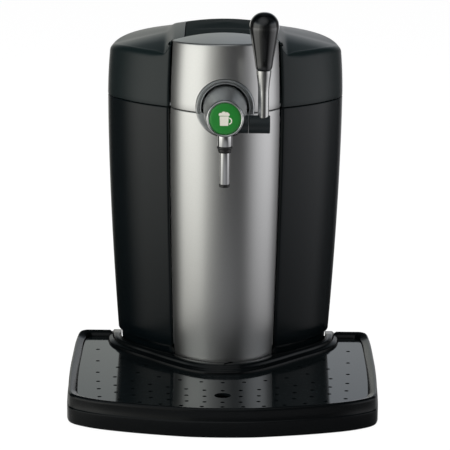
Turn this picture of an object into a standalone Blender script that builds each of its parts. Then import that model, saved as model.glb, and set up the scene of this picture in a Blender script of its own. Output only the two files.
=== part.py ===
"""Mini keg beer dispenser: a cooled keg housing with a hinged lid, a lever tap and a drip tray.

The part stands on z = 0 with its tap towards -Y. The keg's axis is vertical, at x = 0, y = WIDEST_Y.
Blender script: it clears the objects, then builds one named object for each piece.
"""
import math

import bmesh
import bpy
from mathutils import Quaternion, Vector

MM = 0.001

# Clearances shared by the whole assembly
GAP = 0.3 * MM
RUNNING_GAP = 0.4 * MM
PLATE_CLEARANCE = 0.8 * MM
OVERRUN = 3 * MM
WALL = 2.5 * MM

# The keg sets the chamber, and the chamber sets the housing round it
CHAMBER_RADIUS = 88 * MM
CHAMBER_WALL = 1.5 * MM
WIDEST_Y = 42 * MM

# Housing in plan: two half superellipses, with a round column standing out in front
SIDE_ROOM = 47.5 * MM
BODY_HALF_WIDTH = CHAMBER_RADIUS + SIDE_ROOM
FLANK_ROOM = 14.3 * MM
FLANK_REACH = CHAMBER_RADIUS + FLANK_ROOM
FLANK_POWER = 1.6
REAR_ROOM = 98 * MM
REAR_REACH = CHAMBER_RADIUS + REAR_ROOM
REAR_POWER = 2.15
COLUMN_HALF_WIDTH = 61.5 * MM
COLUMN_ROOM = 32 * MM
COLUMN_FRONT_Y = WIDEST_Y - CHAMBER_RADIUS - COLUMN_ROOM
REAR_COVER_INSET = 16 * MM
REAR_COVER_HALF_WIDTH = CHAMBER_RADIUS - REAR_COVER_INSET
GROOVE = 0.9 * MM

# Housing in height
SEAM_Z = 325 * MM
BODY_BOTTOM_Z = 6 * MM
PLINTH_TOP_Z = 46 * MM
PLINTH_INSET = 3.5 * MM
BASE_NARROWING = 11.8 * MM
BASE_NARROWING_Z = 49 * MM
NARROWING_POWER = 1.7
LID_NARROWING = 2.5 * MM

# Lid
LID_WALL_HEIGHT = 59 * MM
LID_EDGE_Z = SEAM_Z + LID_WALL_HEIGHT
LID_EDGE_BAND = 6 * MM
LID_NARROWING_Z = LID_EDGE_Z - LID_EDGE_BAND
LID_RISE = 25 * MM
LID_DOME_POWER = 1.3
LID_REAR_FALL = 5 * MM
LID_FALL_OFFSET = 42 * MM
LID_FALL_START_Y = WIDEST_Y - LID_FALL_OFFSET
LID_FALL_LENGTH = 70 * MM
LID_EDGE_RADIUS = 8 * MM
PANEL_EDGE_RADIUS = 2 * MM
HUMP_RISE = 24.5 * MM
HUMP_TOP_Z = LID_EDGE_Z + HUMP_RISE
HUMP_FALL = 5.8 * MM
HUMP_ARCH = 5.5 * MM
HUMP_INSET = 3.5 * MM
HUMP_HALF_WIDTH = COLUMN_HALF_WIDTH - HUMP_INSET
HUMP_FILLET = 12 * MM
HUMP_FADE_OFFSET = 18 * MM
HUMP_FADE_START_Y = WIDEST_Y + HUMP_FADE_OFFSET
HUMP_FADE_LENGTH = 65 * MM
HUMP_FADE_END_Y = HUMP_FADE_START_Y + HUMP_FADE_LENGTH
PANEL_DEPTH = 58 * MM
PANEL_ARC_Y = COLUMN_FRONT_Y + PANEL_DEPTH
PANEL_ARC_SAG = 18 * MM
PANEL_THICKNESS = 2.2 * MM
BUTTON_INSET = 15.5 * MM
BUTTON_HALF_WIDTH = COLUMN_HALF_WIDTH - BUTTON_INSET
BUTTON_REACH = 46 * MM
BUTTON_REAR_Y = WIDEST_Y + BUTTON_REACH
BUTTON_THICKNESS = 3 * MM
BUTTON_MARGIN = 0.5 * MM

# Tap axis and ring, on the seam
TAP_RISE = 6.5 * MM
TAP_Z = SEAM_Z + TAP_RISE
RING_RADIUS = 32.7 * MM
RING_SETBACK = 0.5 * MM
RING_FRONT_Y = COLUMN_FRONT_Y + RING_SETBACK
RING_DEPTH = 15 * MM
RING_REAR_Y = COLUMN_FRONT_Y + RING_DEPTH
RING_BORE = 26.5 * MM
CRADLE_SETBACK = 2 * MM
CRADLE_FRONT_Y = COLUMN_FRONT_Y + CRADLE_SETBACK
HEAD_RADIUS = 24.2 * MM
HEAD_FRONT_RADIUS = 20.2 * MM
HEAD_ROOT = 16 * MM
HEAD_REAR_Y = COLUMN_FRONT_Y + HEAD_ROOT
HEAD_SHOULDER = 6 * MM
HEAD_SHOULDER_Y = COLUMN_FRONT_Y - HEAD_SHOULDER
HEAD_REACH = 60 * MM
HEAD_FRONT_Y = COLUMN_FRONT_Y - HEAD_REACH
HEAD_WALL = 2.5 * MM
BEZEL_DEPTH = 2.3 * MM
BADGE_RADIUS = 17.3 * MM
BADGE_THICKNESS = 2.4 * MM
BADGE_RECESS = 0.8 * MM

# Spout under the tap head
SPOUT_SETBACK = 16 * MM
SPOUT_Y = HEAD_FRONT_Y + SPOUT_SETBACK
SPOUT_COLLAR_RADIUS = 8.2 * MM
SPOUT_COLLAR_DROP = 18.9 * MM
SPOUT_COLLAR_TOP_Z = TAP_Z - SPOUT_COLLAR_DROP
SPOUT_COLLAR_LENGTH = 14.6 * MM
SPOUT_COLLAR_BOTTOM_Z = SPOUT_COLLAR_TOP_Z - SPOUT_COLLAR_LENGTH
SEAL_TOP_RADIUS = 8.6 * MM
SEAL_BOTTOM_RADIUS = 6.7 * MM
SEAL_LENGTH = 7.4 * MM
SEAL_BOTTOM_Z = SPOUT_COLLAR_BOTTOM_Z - SEAL_LENGTH
SPOUT_TUBE_RADIUS = 5.7 * MM
SPOUT_TUBE_BORE = 4.6 * MM
SPOUT_TUBE_REACH = 35.2 * MM
SPOUT_TUBE_BOTTOM_Z = SEAL_BOTTOM_Z - SPOUT_TUBE_REACH
SPOUT_TIP_RADIUS = 5.9 * MM
SPOUT_TIP_LENGTH = 3.4 * MM
SPOUT_TIP_BOTTOM_Z = SPOUT_TUBE_BOTTOM_Z - SPOUT_TIP_LENGTH

# Lever and its pivot on the right of the tap head
PIVOT_SETBACK = 26 * MM
PIVOT_Y = HEAD_FRONT_Y + PIVOT_SETBACK
PIVOT_DROP = 11.1 * MM
PIVOT_Z = TAP_Z - PIVOT_DROP
BARREL_RADIUS = 10 * MM
BARREL_START_X = 26.1 * MM
BARREL_LENGTH = 23.4 * MM
BARREL_END_X = BARREL_START_X + BARREL_LENGTH
BARREL_CHAMFER = 1 * MM
PIVOT_BLOCK_START_X = 14 * MM
LEVER_X = 42 * MM
ROD_RADIUS = 6 * MM
ROD_FLARE_RADIUS = 8.4 * MM
ROD_SOCKET_DEPTH = 6 * MM
LEVER_RISE = 60.5 * MM
KNOB_BOTTOM_Z = PIVOT_Z + LEVER_RISE
ROD_FLARE_LENGTH = 15.9 * MM
ROD_FLARE_Z = KNOB_BOTTOM_Z - ROD_FLARE_LENGTH
KNOB_HEIGHT = 63.7 * MM
KNOB_TOP_Z = KNOB_BOTTOM_Z + KNOB_HEIGHT
KNOB_RADIUS = 16.4 * MM
SHAFT_RADIUS = 3 * MM
CRANK_THROW = 5 * MM
CRANK_PLATE = 2.5 * MM
CRANK_X = 5 * MM
CRANK_PIN_RADIUS = 1 * MM
SLIDER_HALF_WIDTH = 4.6 * MM
SLIDER_OVERHANG = 5 * MM
SLIDER_REAR_Y = PIVOT_Y + SLIDER_OVERHANG
BEER_TUBE_RADIUS = 3 * MM
BEER_TUBE_BORE = 2 * MM
BEER_TUBE_RISE = 2.5 * MM
BEER_TUBE_Z = TAP_Z + BEER_TUBE_RISE
BEER_TUBE_BEND = 12 * MM
COUPLING_SETBACK = 1 * MM
COUPLING_FRONT_Y = HEAD_REAR_Y + COUPLING_SETBACK
COUPLING_LENGTH = 5.6 * MM
COUPLING_REAR_Y = COUPLING_FRONT_Y + COUPLING_LENGTH
COUPLING_HALF_WIDTH = 6 * MM

# Cold side, round the keg
CHAMBER_FLOOR_Z = 60 * MM
FLANGE_DROP = 9 * MM
CHAMBER_FLANGE_Z = SEAM_Z - FLANGE_DROP
FLANGE_WIDTH = 8 * MM
CHAMBER_FLANGE_RADIUS = CHAMBER_RADIUS + FLANGE_WIDTH
INSULATION_THICKNESS = 8.3 * MM
INSULATION_RADIUS = CHAMBER_RADIUS + INSULATION_THICKNESS
INSULATION_BOTTOM_Z = 47 * MM
STAND_INSET = 3 * MM
STAND_RADIUS = CHAMBER_RADIUS - STAND_INSET
STAND_WALL = 4 * MM
DECK_THICKNESS = 3 * MM
DECK_HOLE_MARGIN = 4 * MM
DECK_HOLE_RADIUS = CHAMBER_RADIUS + DECK_HOLE_MARGIN
LINER_PLATE_THICKNESS = 3 * MM
LINER_PLUG_MARGIN = 2.5 * MM
LINER_PLUG_RADIUS = CHAMBER_RADIUS + LINER_PLUG_MARGIN
LINER_PLUG_DROP = 3.7 * MM
LINER_PLUG_BOTTOM_Z = SEAM_Z - LINER_PLUG_DROP
GASKET_MARGIN = 5 * MM
GASKET_INNER_RADIUS = CHAMBER_RADIUS + GASKET_MARGIN
GASKET_WIDTH = 4 * MM
GASKET_OUTER_RADIUS = GASKET_INNER_RADIUS + GASKET_WIDTH

# Hot side, behind the keg
COOLER_Z = 170 * MM
COLD_BLOCK_HALF = 20 * MM
COLD_BLOCK_REACH = 12 * MM
COLD_BLOCK_REAR_Y = WIDEST_Y + CHAMBER_RADIUS + COLD_BLOCK_REACH
PELTIER_THICKNESS = 4 * MM
SINK_HALF_WIDTH = 45 * MM
SINK_HALF_HEIGHT = 50 * MM
SINK_BASE = 6 * MM
SINK_FIN_DEPTH = 33 * MM
SINK_FIN = 2.2 * MM
SINK_FIN_COUNT = 11
FAN_HALF = 40 * MM
FAN_DEPTH = 15 * MM
FAN_BORE = 37 * MM
ROTOR_RADIUS = 35.5 * MM
ROTOR_HUB_RADIUS = 15 * MM
ROTOR_BLADES = 7
BLADE_THICKNESS = 1.4 * MM
BLADE_CHORD = 13 * MM
BLADE_PITCH = math.radians(50)

# Base
BASE_PAN_BOTTOM_Z = 4.3 * MM
BASE_PAN_THICKNESS = 3 * MM
FOOT_RADIUS = 9 * MM
FOOT_FRONT_INSET = 13 * MM
FOOT_FRONT_X = CHAMBER_RADIUS - FOOT_FRONT_INSET
FOOT_FRONT_SETBACK = 34 * MM
FOOT_FRONT_Y = WIDEST_Y - CHAMBER_RADIUS + FOOT_FRONT_SETBACK
FOOT_REAR_INSET = 22 * MM
FOOT_REAR_X = CHAMBER_RADIUS - FOOT_REAR_INSET
FOOT_REAR_SETBACK = 43 * MM
FOOT_REAR_Y = WIDEST_Y + REAR_REACH - FOOT_REAR_SETBACK
STANDOFF_RADIUS = 3 * MM
STANDOFF_HEIGHT = 5 * MM
BOARD_THICKNESS = 1.6 * MM
POWER_BOARD_HALF_WIDTH = 55 * MM
POWER_BOARD_SETBACK = 28 * MM
POWER_BOARD_REAR_Y = WIDEST_Y + REAR_REACH - POWER_BOARD_SETBACK
POWER_BOARD_DEPTH = 60 * MM
POWER_BOARD_FRONT_Y = POWER_BOARD_REAR_Y - POWER_BOARD_DEPTH
TRANSFORMER_HALF_WIDTH = 22 * MM
TRANSFORMER_DEPTH = 38 * MM
TRANSFORMER_HEIGHT = 34 * MM
CONTROL_BOARD_HALF_WIDTH = 30 * MM
CONTROL_BOARD_REACH = 32 * MM
CONTROL_BOARD_FRONT_Y = WIDEST_Y - CONTROL_BOARD_REACH
CONTROL_BOARD_DEPTH = 60 * MM
CONTROL_BOARD_REAR_Y = CONTROL_BOARD_FRONT_Y + CONTROL_BOARD_DEPTH

# Rear cover
VENT_WIDTH = 84 * MM
VENT_HEIGHT = 4 * MM
VENT_PITCH = 9 * MM
VENT_COUNT = 9
INTAKE_COUNT = 3
INTAKE_Z = 80 * MM
GLAND_X = -46 * MM
GLAND_Z = 50 * MM
GLAND_RADIUS = 6.5 * MM
GLAND_BORE = 3.6 * MM
GLAND_FLANGE_RADIUS = 9 * MM
GLAND_LENGTH = 14 * MM
SWITCH_X = 42 * MM
SWITCH_Z = 52 * MM
SWITCH_HALF_WIDTH = 7 * MM
SWITCH_HALF_HEIGHT = 11 * MM
SWITCH_DEPTH = 16 * MM
SWITCH_WALL = 1.5 * MM
SWITCH_PROUD = 1 * MM
ROCKER_THICKNESS = 5 * MM
ROCKER_TILT = math.radians(8)
ROCKER_HEIGHT_SHARE = 0.92

# Hinge at the rear of the seam
HINGE_STANDOFF = 5.4 * MM
HINGE_Y = WIDEST_Y + REAR_REACH + HINGE_STANDOFF
HINGE_DROP = 0.5 * MM
HINGE_Z = SEAM_Z - HINGE_DROP
KNUCKLE_RADIUS = 4.3 * MM
HINGE_PIN_RADIUS = 2 * MM
HINGE_BORE_CLEARANCE = 0.3 * MM
BRACKET_INNER_X = 22 * MM
KNUCKLE_LENGTH = 12 * MM
LEAF_HEIGHT = 20 * MM
LEAF_SETBACK = 2.2 * MM
LEAF_REAR_Y = HINGE_Y - LEAF_SETBACK

# Latch
LATCH_PLACE_SHARE = 2 / 7
LATCH_X = -RING_BORE - LATCH_PLACE_SHARE * (COLUMN_HALF_WIDTH - RING_BORE)
LATCH_WIDTH = 5 * MM
LATCH_SETBACK = 22 * MM
LATCH_LEG_FRONT_Y = COLUMN_FRONT_Y + LATCH_SETBACK
LATCH_LEG_THICKNESS = 3 * MM
LATCH_NOSE = 2.8 * MM
LATCH_NOSE_HEIGHT = 3 * MM
LATCH_REACH = 12 * MM
LATCH_BOTTOM_Z = SEAM_Z - LATCH_REACH
LATCH_RISE = 20 * MM
LATCH_TOP_Z = SEAM_Z + LATCH_RISE
LATCH_ARM_LENGTH = 32 * MM
LATCH_ARM_REAR_Y = LATCH_LEG_FRONT_Y + LATCH_ARM_LENGTH
LATCH_TRAVEL = 2 * MM
STRIKER_THICKNESS = 3.2 * MM
CARRIER_DROP = 17.5 * MM
CARRIER_TOP_Z = HUMP_TOP_Z - CARRIER_DROP
CARRIER_THICKNESS = 3 * MM
CARRIER_HALF_WIDTH = 32 * MM
CARRIER_HALF_DEPTH = 34 * MM
CARRIER_FRONT_Y = WIDEST_Y - CARRIER_HALF_DEPTH
CARRIER_REAR_Y = WIDEST_Y + CARRIER_HALF_DEPTH
CARRIER_LEG = 6 * MM
SPRING_RADIUS = 5 * MM
SPRING_WIRE_RADIUS = 0.5 * MM
SPRING_TURNS = 4

# Drip tray
TRAY_OVERHANG = 39.5 * MM
TRAY_HALF_WIDTH = BODY_HALF_WIDTH + TRAY_OVERHANG
TRAY_REACH = 160 * MM
TRAY_FRONT_Y = COLUMN_FRONT_Y - TRAY_REACH
TRAY_WING = 23 * MM
TRAY_REAR_Y = WIDEST_Y + TRAY_WING
TRAY_HEIGHT = 33 * MM
TRAY_FLOOR = 3 * MM
TRAY_RIM = 11 * MM
TRAY_LEDGE = 3 * MM
GRID_DROP = 4 * MM
GRID_TOP_Z = TRAY_HEIGHT - GRID_DROP
GRID_THICKNESS = 3 * MM
NOTCH_CLEARANCE = 0.8 * MM
COLLAR_MARGIN = 0.5 * MM
COLLAR_HALF_WIDTH = BODY_HALF_WIDTH + COLLAR_MARGIN
COLLAR_REACH = 19 * MM
COLLAR_FRONT_Y = COLUMN_FRONT_Y - COLLAR_REACH
COLLAR_RISE = 5 * MM
COLLAR_TOP_Z = TRAY_HEIGHT + COLLAR_RISE
COLLAR_STEP = 7 * MM
DRAIN_RADIUS = 2.4 * MM
FINGER_HOLE_RADIUS = 9.2 * MM
FINGER_HOLE_SETBACK = 62 * MM
FINGER_HOLE_Y = TRAY_FRONT_Y + FINGER_HOLE_SETBACK

# Outlines, as shares of the sizes that they follow
TRAY_OUTLINE_SHARES = [
    (0, 0), (0.26, 0.011), (0.53, 0.044), (0.77, 0.087), (0.90, 0.130), (0.955, 0.160),
    (0.975, 0.185), (0.983, 0.225), (0.995, 0.41), (1, 0.60), (1, 0.85), (0.992, 0.95),
    (0.96, 1)]
COLLAR_OUTLINE_SHARES = [
    (0, 0), (0.18, 0.028), (0.325, 0.112), (0.50, 0.276), (0.655, 0.441), (0.80, 0.59),
    (0.92, 0.74), (0.98, 0.87), (1, 1)]
KNOB_PROFILE_SHARES = [
    (0, 0.42), (0.018, 0.51), (0.05, 0.57), (0.17, 0.63), (0.32, 0.725), (0.47, 0.83),
    (0.62, 0.933), (0.75, 0.99), (0.84, 0.955), (0.92, 0.74), (0.98, 0.36)]
DRAIN_ROW_Y_SHARES = (0, 0.25, 0.505, 0.69, 0.86, 1)
DRAIN_ROW_COUNTS = (5, 6, 7, 7, 7, 6)
DRAIN_ROW_RISE_SHARES = (1, 0.85, 0.72, 0.60, 0.53, 0.40)
DRAIN_FIRST_REACH = 20 * MM
DRAIN_FIRST_ROW_Y = COLUMN_FRONT_Y - DRAIN_FIRST_REACH
DRAIN_LAST_SETBACK = 20.5 * MM
DRAIN_LAST_ROW_Y = TRAY_FRONT_Y + DRAIN_LAST_SETBACK
DRAIN_ROW_INSET = 29 * MM
DRAIN_ROW_REACH = TRAY_HALF_WIDTH - DRAIN_ROW_INSET
DRAIN_LAST_INSET = 40 * MM
DRAIN_LAST_REACH = TRAY_HALF_WIDTH - DRAIN_LAST_INSET
DRAIN_ROW_RISE = 98 * MM


# Materials

def material(name, colour, roughness, metallic=0.0, coat=0.0):
    found = bpy.data.materials.get(name)
    if found:
        return found
    made = bpy.data.materials.new(name)
    made.use_nodes = True
    shader = made.node_tree.nodes["Principled BSDF"]
    shader.inputs["Base Color"].default_value = (*colour, 1)
    shader.inputs["Roughness"].default_value = roughness
    shader.inputs["Metallic"].default_value = metallic
    shader.inputs["Coat Weight"].default_value = coat
    made.diffuse_color = (*colour, 1)
    return made


def charcoal_plastic():
    return material("charcoal_plastic", (0.055, 0.058, 0.068), 0.38)


def lid_plastic():
    return material("lid_plastic", (0.06, 0.066, 0.066), 0.36)


def silver_lacquer():
    return material("silver_lacquer", (0.52, 0.51, 0.49), 0.34, 0.85)


def black_gloss():
    return material("black_gloss", (0.012, 0.012, 0.013), 0.12, 0.0, 0.6)


def black_plastic():
    return material("black_plastic", (0.02, 0.02, 0.021), 0.45)


def grey_plastic():
    return material("grey_plastic", (0.42, 0.43, 0.44), 0.5)


def chrome():
    return material("chrome", (0.75, 0.75, 0.75), 0.1, 1.0)


def satin_steel():
    return material("satin_steel", (0.55, 0.54, 0.52), 0.3, 1.0)


def dark_satin():
    return material("dark_satin", (0.09, 0.09, 0.09), 0.35, 0.6)


def rubber():
    return material("rubber", (0.015, 0.015, 0.015), 0.7)


def aluminium():
    return material("aluminium", (0.72, 0.73, 0.74), 0.35, 1.0)


def foam():
    return material("foam", (0.86, 0.86, 0.84), 0.85)


def circuit_board():
    return material("circuit_board", (0.03, 0.17, 0.06), 0.5)


def badge_green():
    return material("badge_green", (0.02, 0.28, 0.05), 0.3)


def clear_tube():
    return material("clear_tube", (0.8, 0.82, 0.82), 0.25)


# Mesh tools

def new_object(name, verts, faces, surface, smooth_angle=35):
    """Make one object from points and faces, with its normals turned outwards."""
    mesh = bpy.data.meshes.new(name)
    mesh.from_pydata([tuple(v) for v in verts], [], faces)
    work = bmesh.new()
    work.from_mesh(mesh)
    bmesh.ops.recalc_face_normals(work, faces=work.faces)
    work.to_mesh(mesh)
    work.free()
    mesh.shade_smooth()
    mesh.set_sharp_from_angle(angle=math.radians(smooth_angle))
    mesh.materials.append(surface)
    made = bpy.data.objects.new(name, mesh)
    bpy.context.scene.collection.objects.link(made)
    return made


def sheet_solid(name, outer, inner, surface):
    """Close the space between two grids of points, row by row, into one solid."""
    rows, cols = len(outer), len(outer[0])
    verts = [p for row in outer for p in row] + [p for row in inner for p in row]
    count = rows * cols
    faces = []
    for r in range(rows - 1):
        for c in range(cols - 1):
            a, b = r * cols + c, r * cols + c + 1
            d, e = a + cols, b + cols
            faces.append((a, b, e, d))
            faces.append((count + d, count + e, count + b, count + a))
    rim = [(0, c) for c in range(cols)] + [(r, cols - 1) for r in range(1, rows)]
    rim += [(rows - 1, c) for c in range(cols - 2, -1, -1)] + [(r, 0) for r in range(rows - 2, 0, -1)]
    ids = [r * cols + c for r, c in rim]
    for here, there in zip(ids, ids[1:] + ids[:1]):
        faces.append((there, here, count + here, count + there))
    return new_object(name, verts, faces, surface)


def prism(name, outline, low, high, surface):
    """Stand a closed plan outline up from low to high."""
    count = len(outline)
    verts = [(x, y, low) for x, y in outline] + [(x, y, high) for x, y in outline]
    faces = [tuple(range(count)), tuple(range(count, 2 * count))]
    for i in range(count):
        j = (i + 1) % count
        faces.append((i, j, count + j, count + i))
    return new_object(name, verts, faces, surface)


def block(name, low, high, surface):
    (x0, y0, z0), (x1, y1, z1) = low, high
    return prism(name, [(x0, y0), (x1, y0), (x1, y1), (x0, y1)], z0, z1, surface)


def turned(name, profile, centre, axis, surface, segments=32):
    """Turn a closed profile of (radius, distance along the axis) about an axis through centre."""
    turn = Vector((0, 0, 1)).rotation_difference(Vector(axis))
    verts, rings = [], []
    for radius, along in profile:
        if radius == 0:
            rings.append([len(verts)])
            verts.append(turn @ Vector((0, 0, along)) + Vector(centre))
            continue
        rings.append([len(verts) + i for i in range(segments)])
        for i in range(segments):
            angle = 2 * math.pi * i / segments
            spot = Vector((radius * math.cos(angle), radius * math.sin(angle), along))
            verts.append(turn @ spot + Vector(centre))
    faces = []
    for first, second in zip(rings, rings[1:] + rings[:1]):
        if len(first) == 1 and len(second) == 1:
            continue
        for i in range(segments):
            j = (i + 1) % segments
            if len(first) == 1:
                faces.append((first[0], second[i], second[j]))
            elif len(second) == 1:
                faces.append((first[i], first[j], second[0]))
            else:
                faces.append((first[i], first[j], second[j], second[i]))
    return new_object(name, verts, faces, surface)


def rod(name, start, end, radius, surface, segments=24):
    along = Vector(end) - Vector(start)
    profile = [(0, 0), (radius, 0), (radius, along.length), (0, along.length)]
    return turned(name, profile, start, along.normalized(), surface, segments)


def bush(name, start, end, radius, bore, surface, segments=24):
    along = Vector(end) - Vector(start)
    profile = [(bore, 0), (radius, 0), (radius, along.length), (bore, along.length)]
    return turned(name, profile, start, along.normalized(), surface, segments)


def pipe(name, path, radius, bore, surface, sides=12):
    """Sweep a ring along a path that bends in the YZ plane."""
    outer, inner = [], []
    for i, spot in enumerate(path):
        before, after = path[max(i - 1, 0)], path[min(i + 1, len(path) - 1)]
        along = (Vector(after) - Vector(before)).normalized()
        side = Vector((1, 0, 0))
        up = along.cross(side)
        outer.append([Vector(spot) + radius * (side * math.cos(a) + up * math.sin(a))
                      for a in (2 * math.pi * k / sides for k in range(sides))])
        inner.append([Vector(spot) + bore * (side * math.cos(a) + up * math.sin(a))
                      for a in (2 * math.pi * k / sides for k in range(sides))])
    verts = [p for ring in outer for p in ring] + [p for ring in inner for p in ring]
    count, faces = len(path) * sides, []
    for i in range(len(path) - 1):
        for k in range(sides):
            a, b = i * sides + k, i * sides + (k + 1) % sides
            faces.append((a, b, b + sides, a + sides))
            faces.append((count + a + sides, count + b + sides, count + b, count + a))
    last = (len(path) - 1) * sides
    for k in range(sides):
        m = (k + 1) % sides
        faces.append((m, k, count + k, count + m))
        faces.append((last + k, last + m, count + last + m, count + last + k))
    return new_object(name, verts, faces, surface)


def as_tool(tool):
    tool.hide_render = True
    tool.display_type = "WIRE"
    return tool


def combine(target, tool, operation):
    modifier = target.modifiers.new(operation.lower() + "_" + tool.name, "BOOLEAN")
    modifier.operation = operation
    modifier.object = as_tool(tool)
    return target


def cut(target, tool):
    return combine(target, tool, "DIFFERENCE")


def join(target, tool):
    return combine(target, tool, "UNION")


def merge_meshes(name, tools):
    """Put separate closed cutters that don't touch into one cutter."""
    mesh = bpy.data.meshes.new(name)
    work = bmesh.new()
    for tool in tools:
        work.from_mesh(tool.data)
        bpy.data.objects.remove(tool)
    work.to_mesh(mesh)
    work.free()
    made = bpy.data.objects.new(name, mesh)
    bpy.context.scene.collection.objects.link(made)
    return as_tool(made)


# Plan and height of the housing

def width_scale(z):
    """Share of the full width that the housing has at height z."""
    if z < SEAM_Z:
        share = (SEAM_Z - z) / (SEAM_Z - BASE_NARROWING_Z)
        return 1 - BASE_NARROWING / BODY_HALF_WIDTH * share ** NARROWING_POWER
    share = (z - SEAM_Z) / (LID_NARROWING_Z - SEAM_Z)
    return 1 - LID_NARROWING / BODY_HALF_WIDTH * share ** 2


def flank_y(x):
    """Front edge of the side cover at distance x from the middle."""
    return WIDEST_Y - FLANK_REACH * (1 - (x / BODY_HALF_WIDTH) ** FLANK_POWER) ** (1 / FLANK_POWER)


def rear_y(x):
    """Rear face of the housing at distance x from the middle."""
    return WIDEST_Y + REAR_REACH * (1 - (x / BODY_HALF_WIDTH) ** REAR_POWER) ** (1 / REAR_POWER)


COLUMN_BULGE = flank_y(COLUMN_HALF_WIDTH) - COLUMN_FRONT_Y
COLUMN_RADIUS = (COLUMN_HALF_WIDTH ** 2 + COLUMN_BULGE ** 2) / (2 * COLUMN_BULGE)
COLUMN_CENTRE_Y = COLUMN_FRONT_Y + COLUMN_RADIUS


def column_plan(half_width, steps):
    reach = math.asin(half_width / COLUMN_RADIUS)
    angles = [reach * (2 * i / steps - 1) for i in range(steps + 1)]
    return [(COLUMN_RADIUS * math.sin(a), COLUMN_CENTRE_Y - COLUMN_RADIUS * math.cos(a)) for a in angles]


def flank_plan(start_x, steps):
    """Points from start_x on the front flank round to the widest place."""
    start = math.asin((start_x / BODY_HALF_WIDTH) ** (FLANK_POWER / 2))
    angles = [start + (math.pi / 2 - start) * i / steps for i in range(steps + 1)]
    return [(BODY_HALF_WIDTH * math.sin(a) ** (2 / FLANK_POWER),
             WIDEST_Y - FLANK_REACH * max(math.cos(a), 0) ** (2 / FLANK_POWER)) for a in angles]


def rear_plan(start_x, end_x, steps):
    """Points on the rear half of the outline, from distance start_x to end_x from the middle."""
    start, end = (math.acos((x / BODY_HALF_WIDTH) ** (REAR_POWER / 2)) for x in (start_x, end_x))
    angles = [start + (end - start) * i / steps for i in range(steps + 1)]
    return [(BODY_HALF_WIDTH * math.cos(a) ** (2 / REAR_POWER),
             WIDEST_Y + REAR_REACH * math.sin(a) ** (2 / REAR_POWER)) for a in angles]


def mirrored(points):
    return [(-x, y) for x, y in reversed(points)]


def full_plan(column_steps=12, flank_steps=8, rear_steps=10):
    """The whole housing outline at the seam, counter-clockwise from the column's left edge."""
    rear = rear_plan(BODY_HALF_WIDTH, 0, rear_steps)
    right = flank_plan(COLUMN_HALF_WIDTH + GROOVE, flank_steps) + rear[1:]
    return column_plan(COLUMN_HALF_WIDTH, column_steps) + right + mirrored(right)[1:]


def inset(points, distance, closed=True):
    """Move each point of a counter-clockwise outline inwards along its normal."""
    moved = []
    count = len(points)
    for i, (x, y) in enumerate(points):
        before = points[i - 1] if closed or i > 0 else points[i]
        after = points[(i + 1) % count] if closed or i < count - 1 else points[i]
        dx, dy = after[0] - before[0], after[1] - before[1]
        length = math.hypot(dx, dy)
        moved.append((x - dy / length * distance, y + dx / length * distance))
    return moved


def plan_at(points, z, distance=0.0, closed=True):
    """An outline narrowed to height z, then inset."""
    scale = width_scale(z)
    return inset([(x * scale, y) for x, y in points], distance, closed)


def lid_gauge(x, y):
    """0 on the keg's axis and 1 on the flanks and the rear."""
    reach, power = (FLANK_REACH, FLANK_POWER) if y < WIDEST_Y else (REAR_REACH, REAR_POWER)
    across = (abs(x) / BODY_HALF_WIDTH) ** power
    return (across + (abs(y - WIDEST_Y) / reach) ** power) ** (1 / power)


def smooth_step(value, start, end):
    share = min(max((value - start) / (end - start), 0), 1)
    return share * share * (3 - 2 * share)


def lid_top_z(x, y):
    """Height of the lid's top surface: a low dome with a raised band from front to crown."""
    gauge = lid_gauge(x, y)
    fall = LID_REAR_FALL * smooth_step(y, LID_FALL_START_Y, LID_FALL_START_Y + LID_FALL_LENGTH)
    dome = LID_EDGE_Z + LID_RISE * (1 - gauge ** LID_DOME_POWER) - fall * gauge
    forward = (WIDEST_Y - y) / (WIDEST_Y - COLUMN_FRONT_Y)
    hump = HUMP_TOP_Z - HUMP_FALL * forward ** 2 - HUMP_ARCH * (x / COLUMN_HALF_WIDTH) ** 2
    beside = 1 - smooth_step(abs(x), HUMP_HALF_WIDTH, HUMP_HALF_WIDTH + HUMP_FILLET)
    ahead = 1 - smooth_step(y, HUMP_FADE_START_Y, HUMP_FADE_END_Y)
    return dome + max(hump - dome, 0) * beside * ahead


def panel_arc_y(x):
    return PANEL_ARC_Y - PANEL_ARC_SAG * (x / COLUMN_HALF_WIDTH) ** 2


# Housing

def shell_panel(name, plan, levels, surface):
    """A wall that follows part of the housing outline; levels are (height, inset) pairs."""
    outer, inner = [], []
    for z, distance in levels:
        outer.append([(x, y, z) for x, y in plan_at(plan, z, distance, False)])
        inner.append([(x, y, z) for x, y in plan_at(plan, z, distance + WALL, False)])
    return sheet_solid(name, outer, inner, surface)


def wall_levels(steps=6):
    """Levels from the plinth, which is set back, up to the seam."""
    top = SEAM_Z - GAP
    rise = [PLINTH_TOP_Z + (top - PLINTH_TOP_Z) * i / steps for i in range(steps + 1)]
    step = PLINTH_INSET
    return [(BODY_BOTTOM_Z, step), (PLINTH_TOP_Z - step, step)] + [(z, 0) for z in rise]


def make_side_covers():
    rear = rear_plan(BODY_HALF_WIDTH, REAR_COVER_HALF_WIDTH + GROOVE, 9)
    plan = flank_plan(COLUMN_HALF_WIDTH + GROOVE, 8) + rear[1:]
    shell_panel("right_side_cover", plan, wall_levels(), charcoal_plastic())
    shell_panel("left_side_cover", mirrored(plan), wall_levels(), charcoal_plastic())


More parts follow.
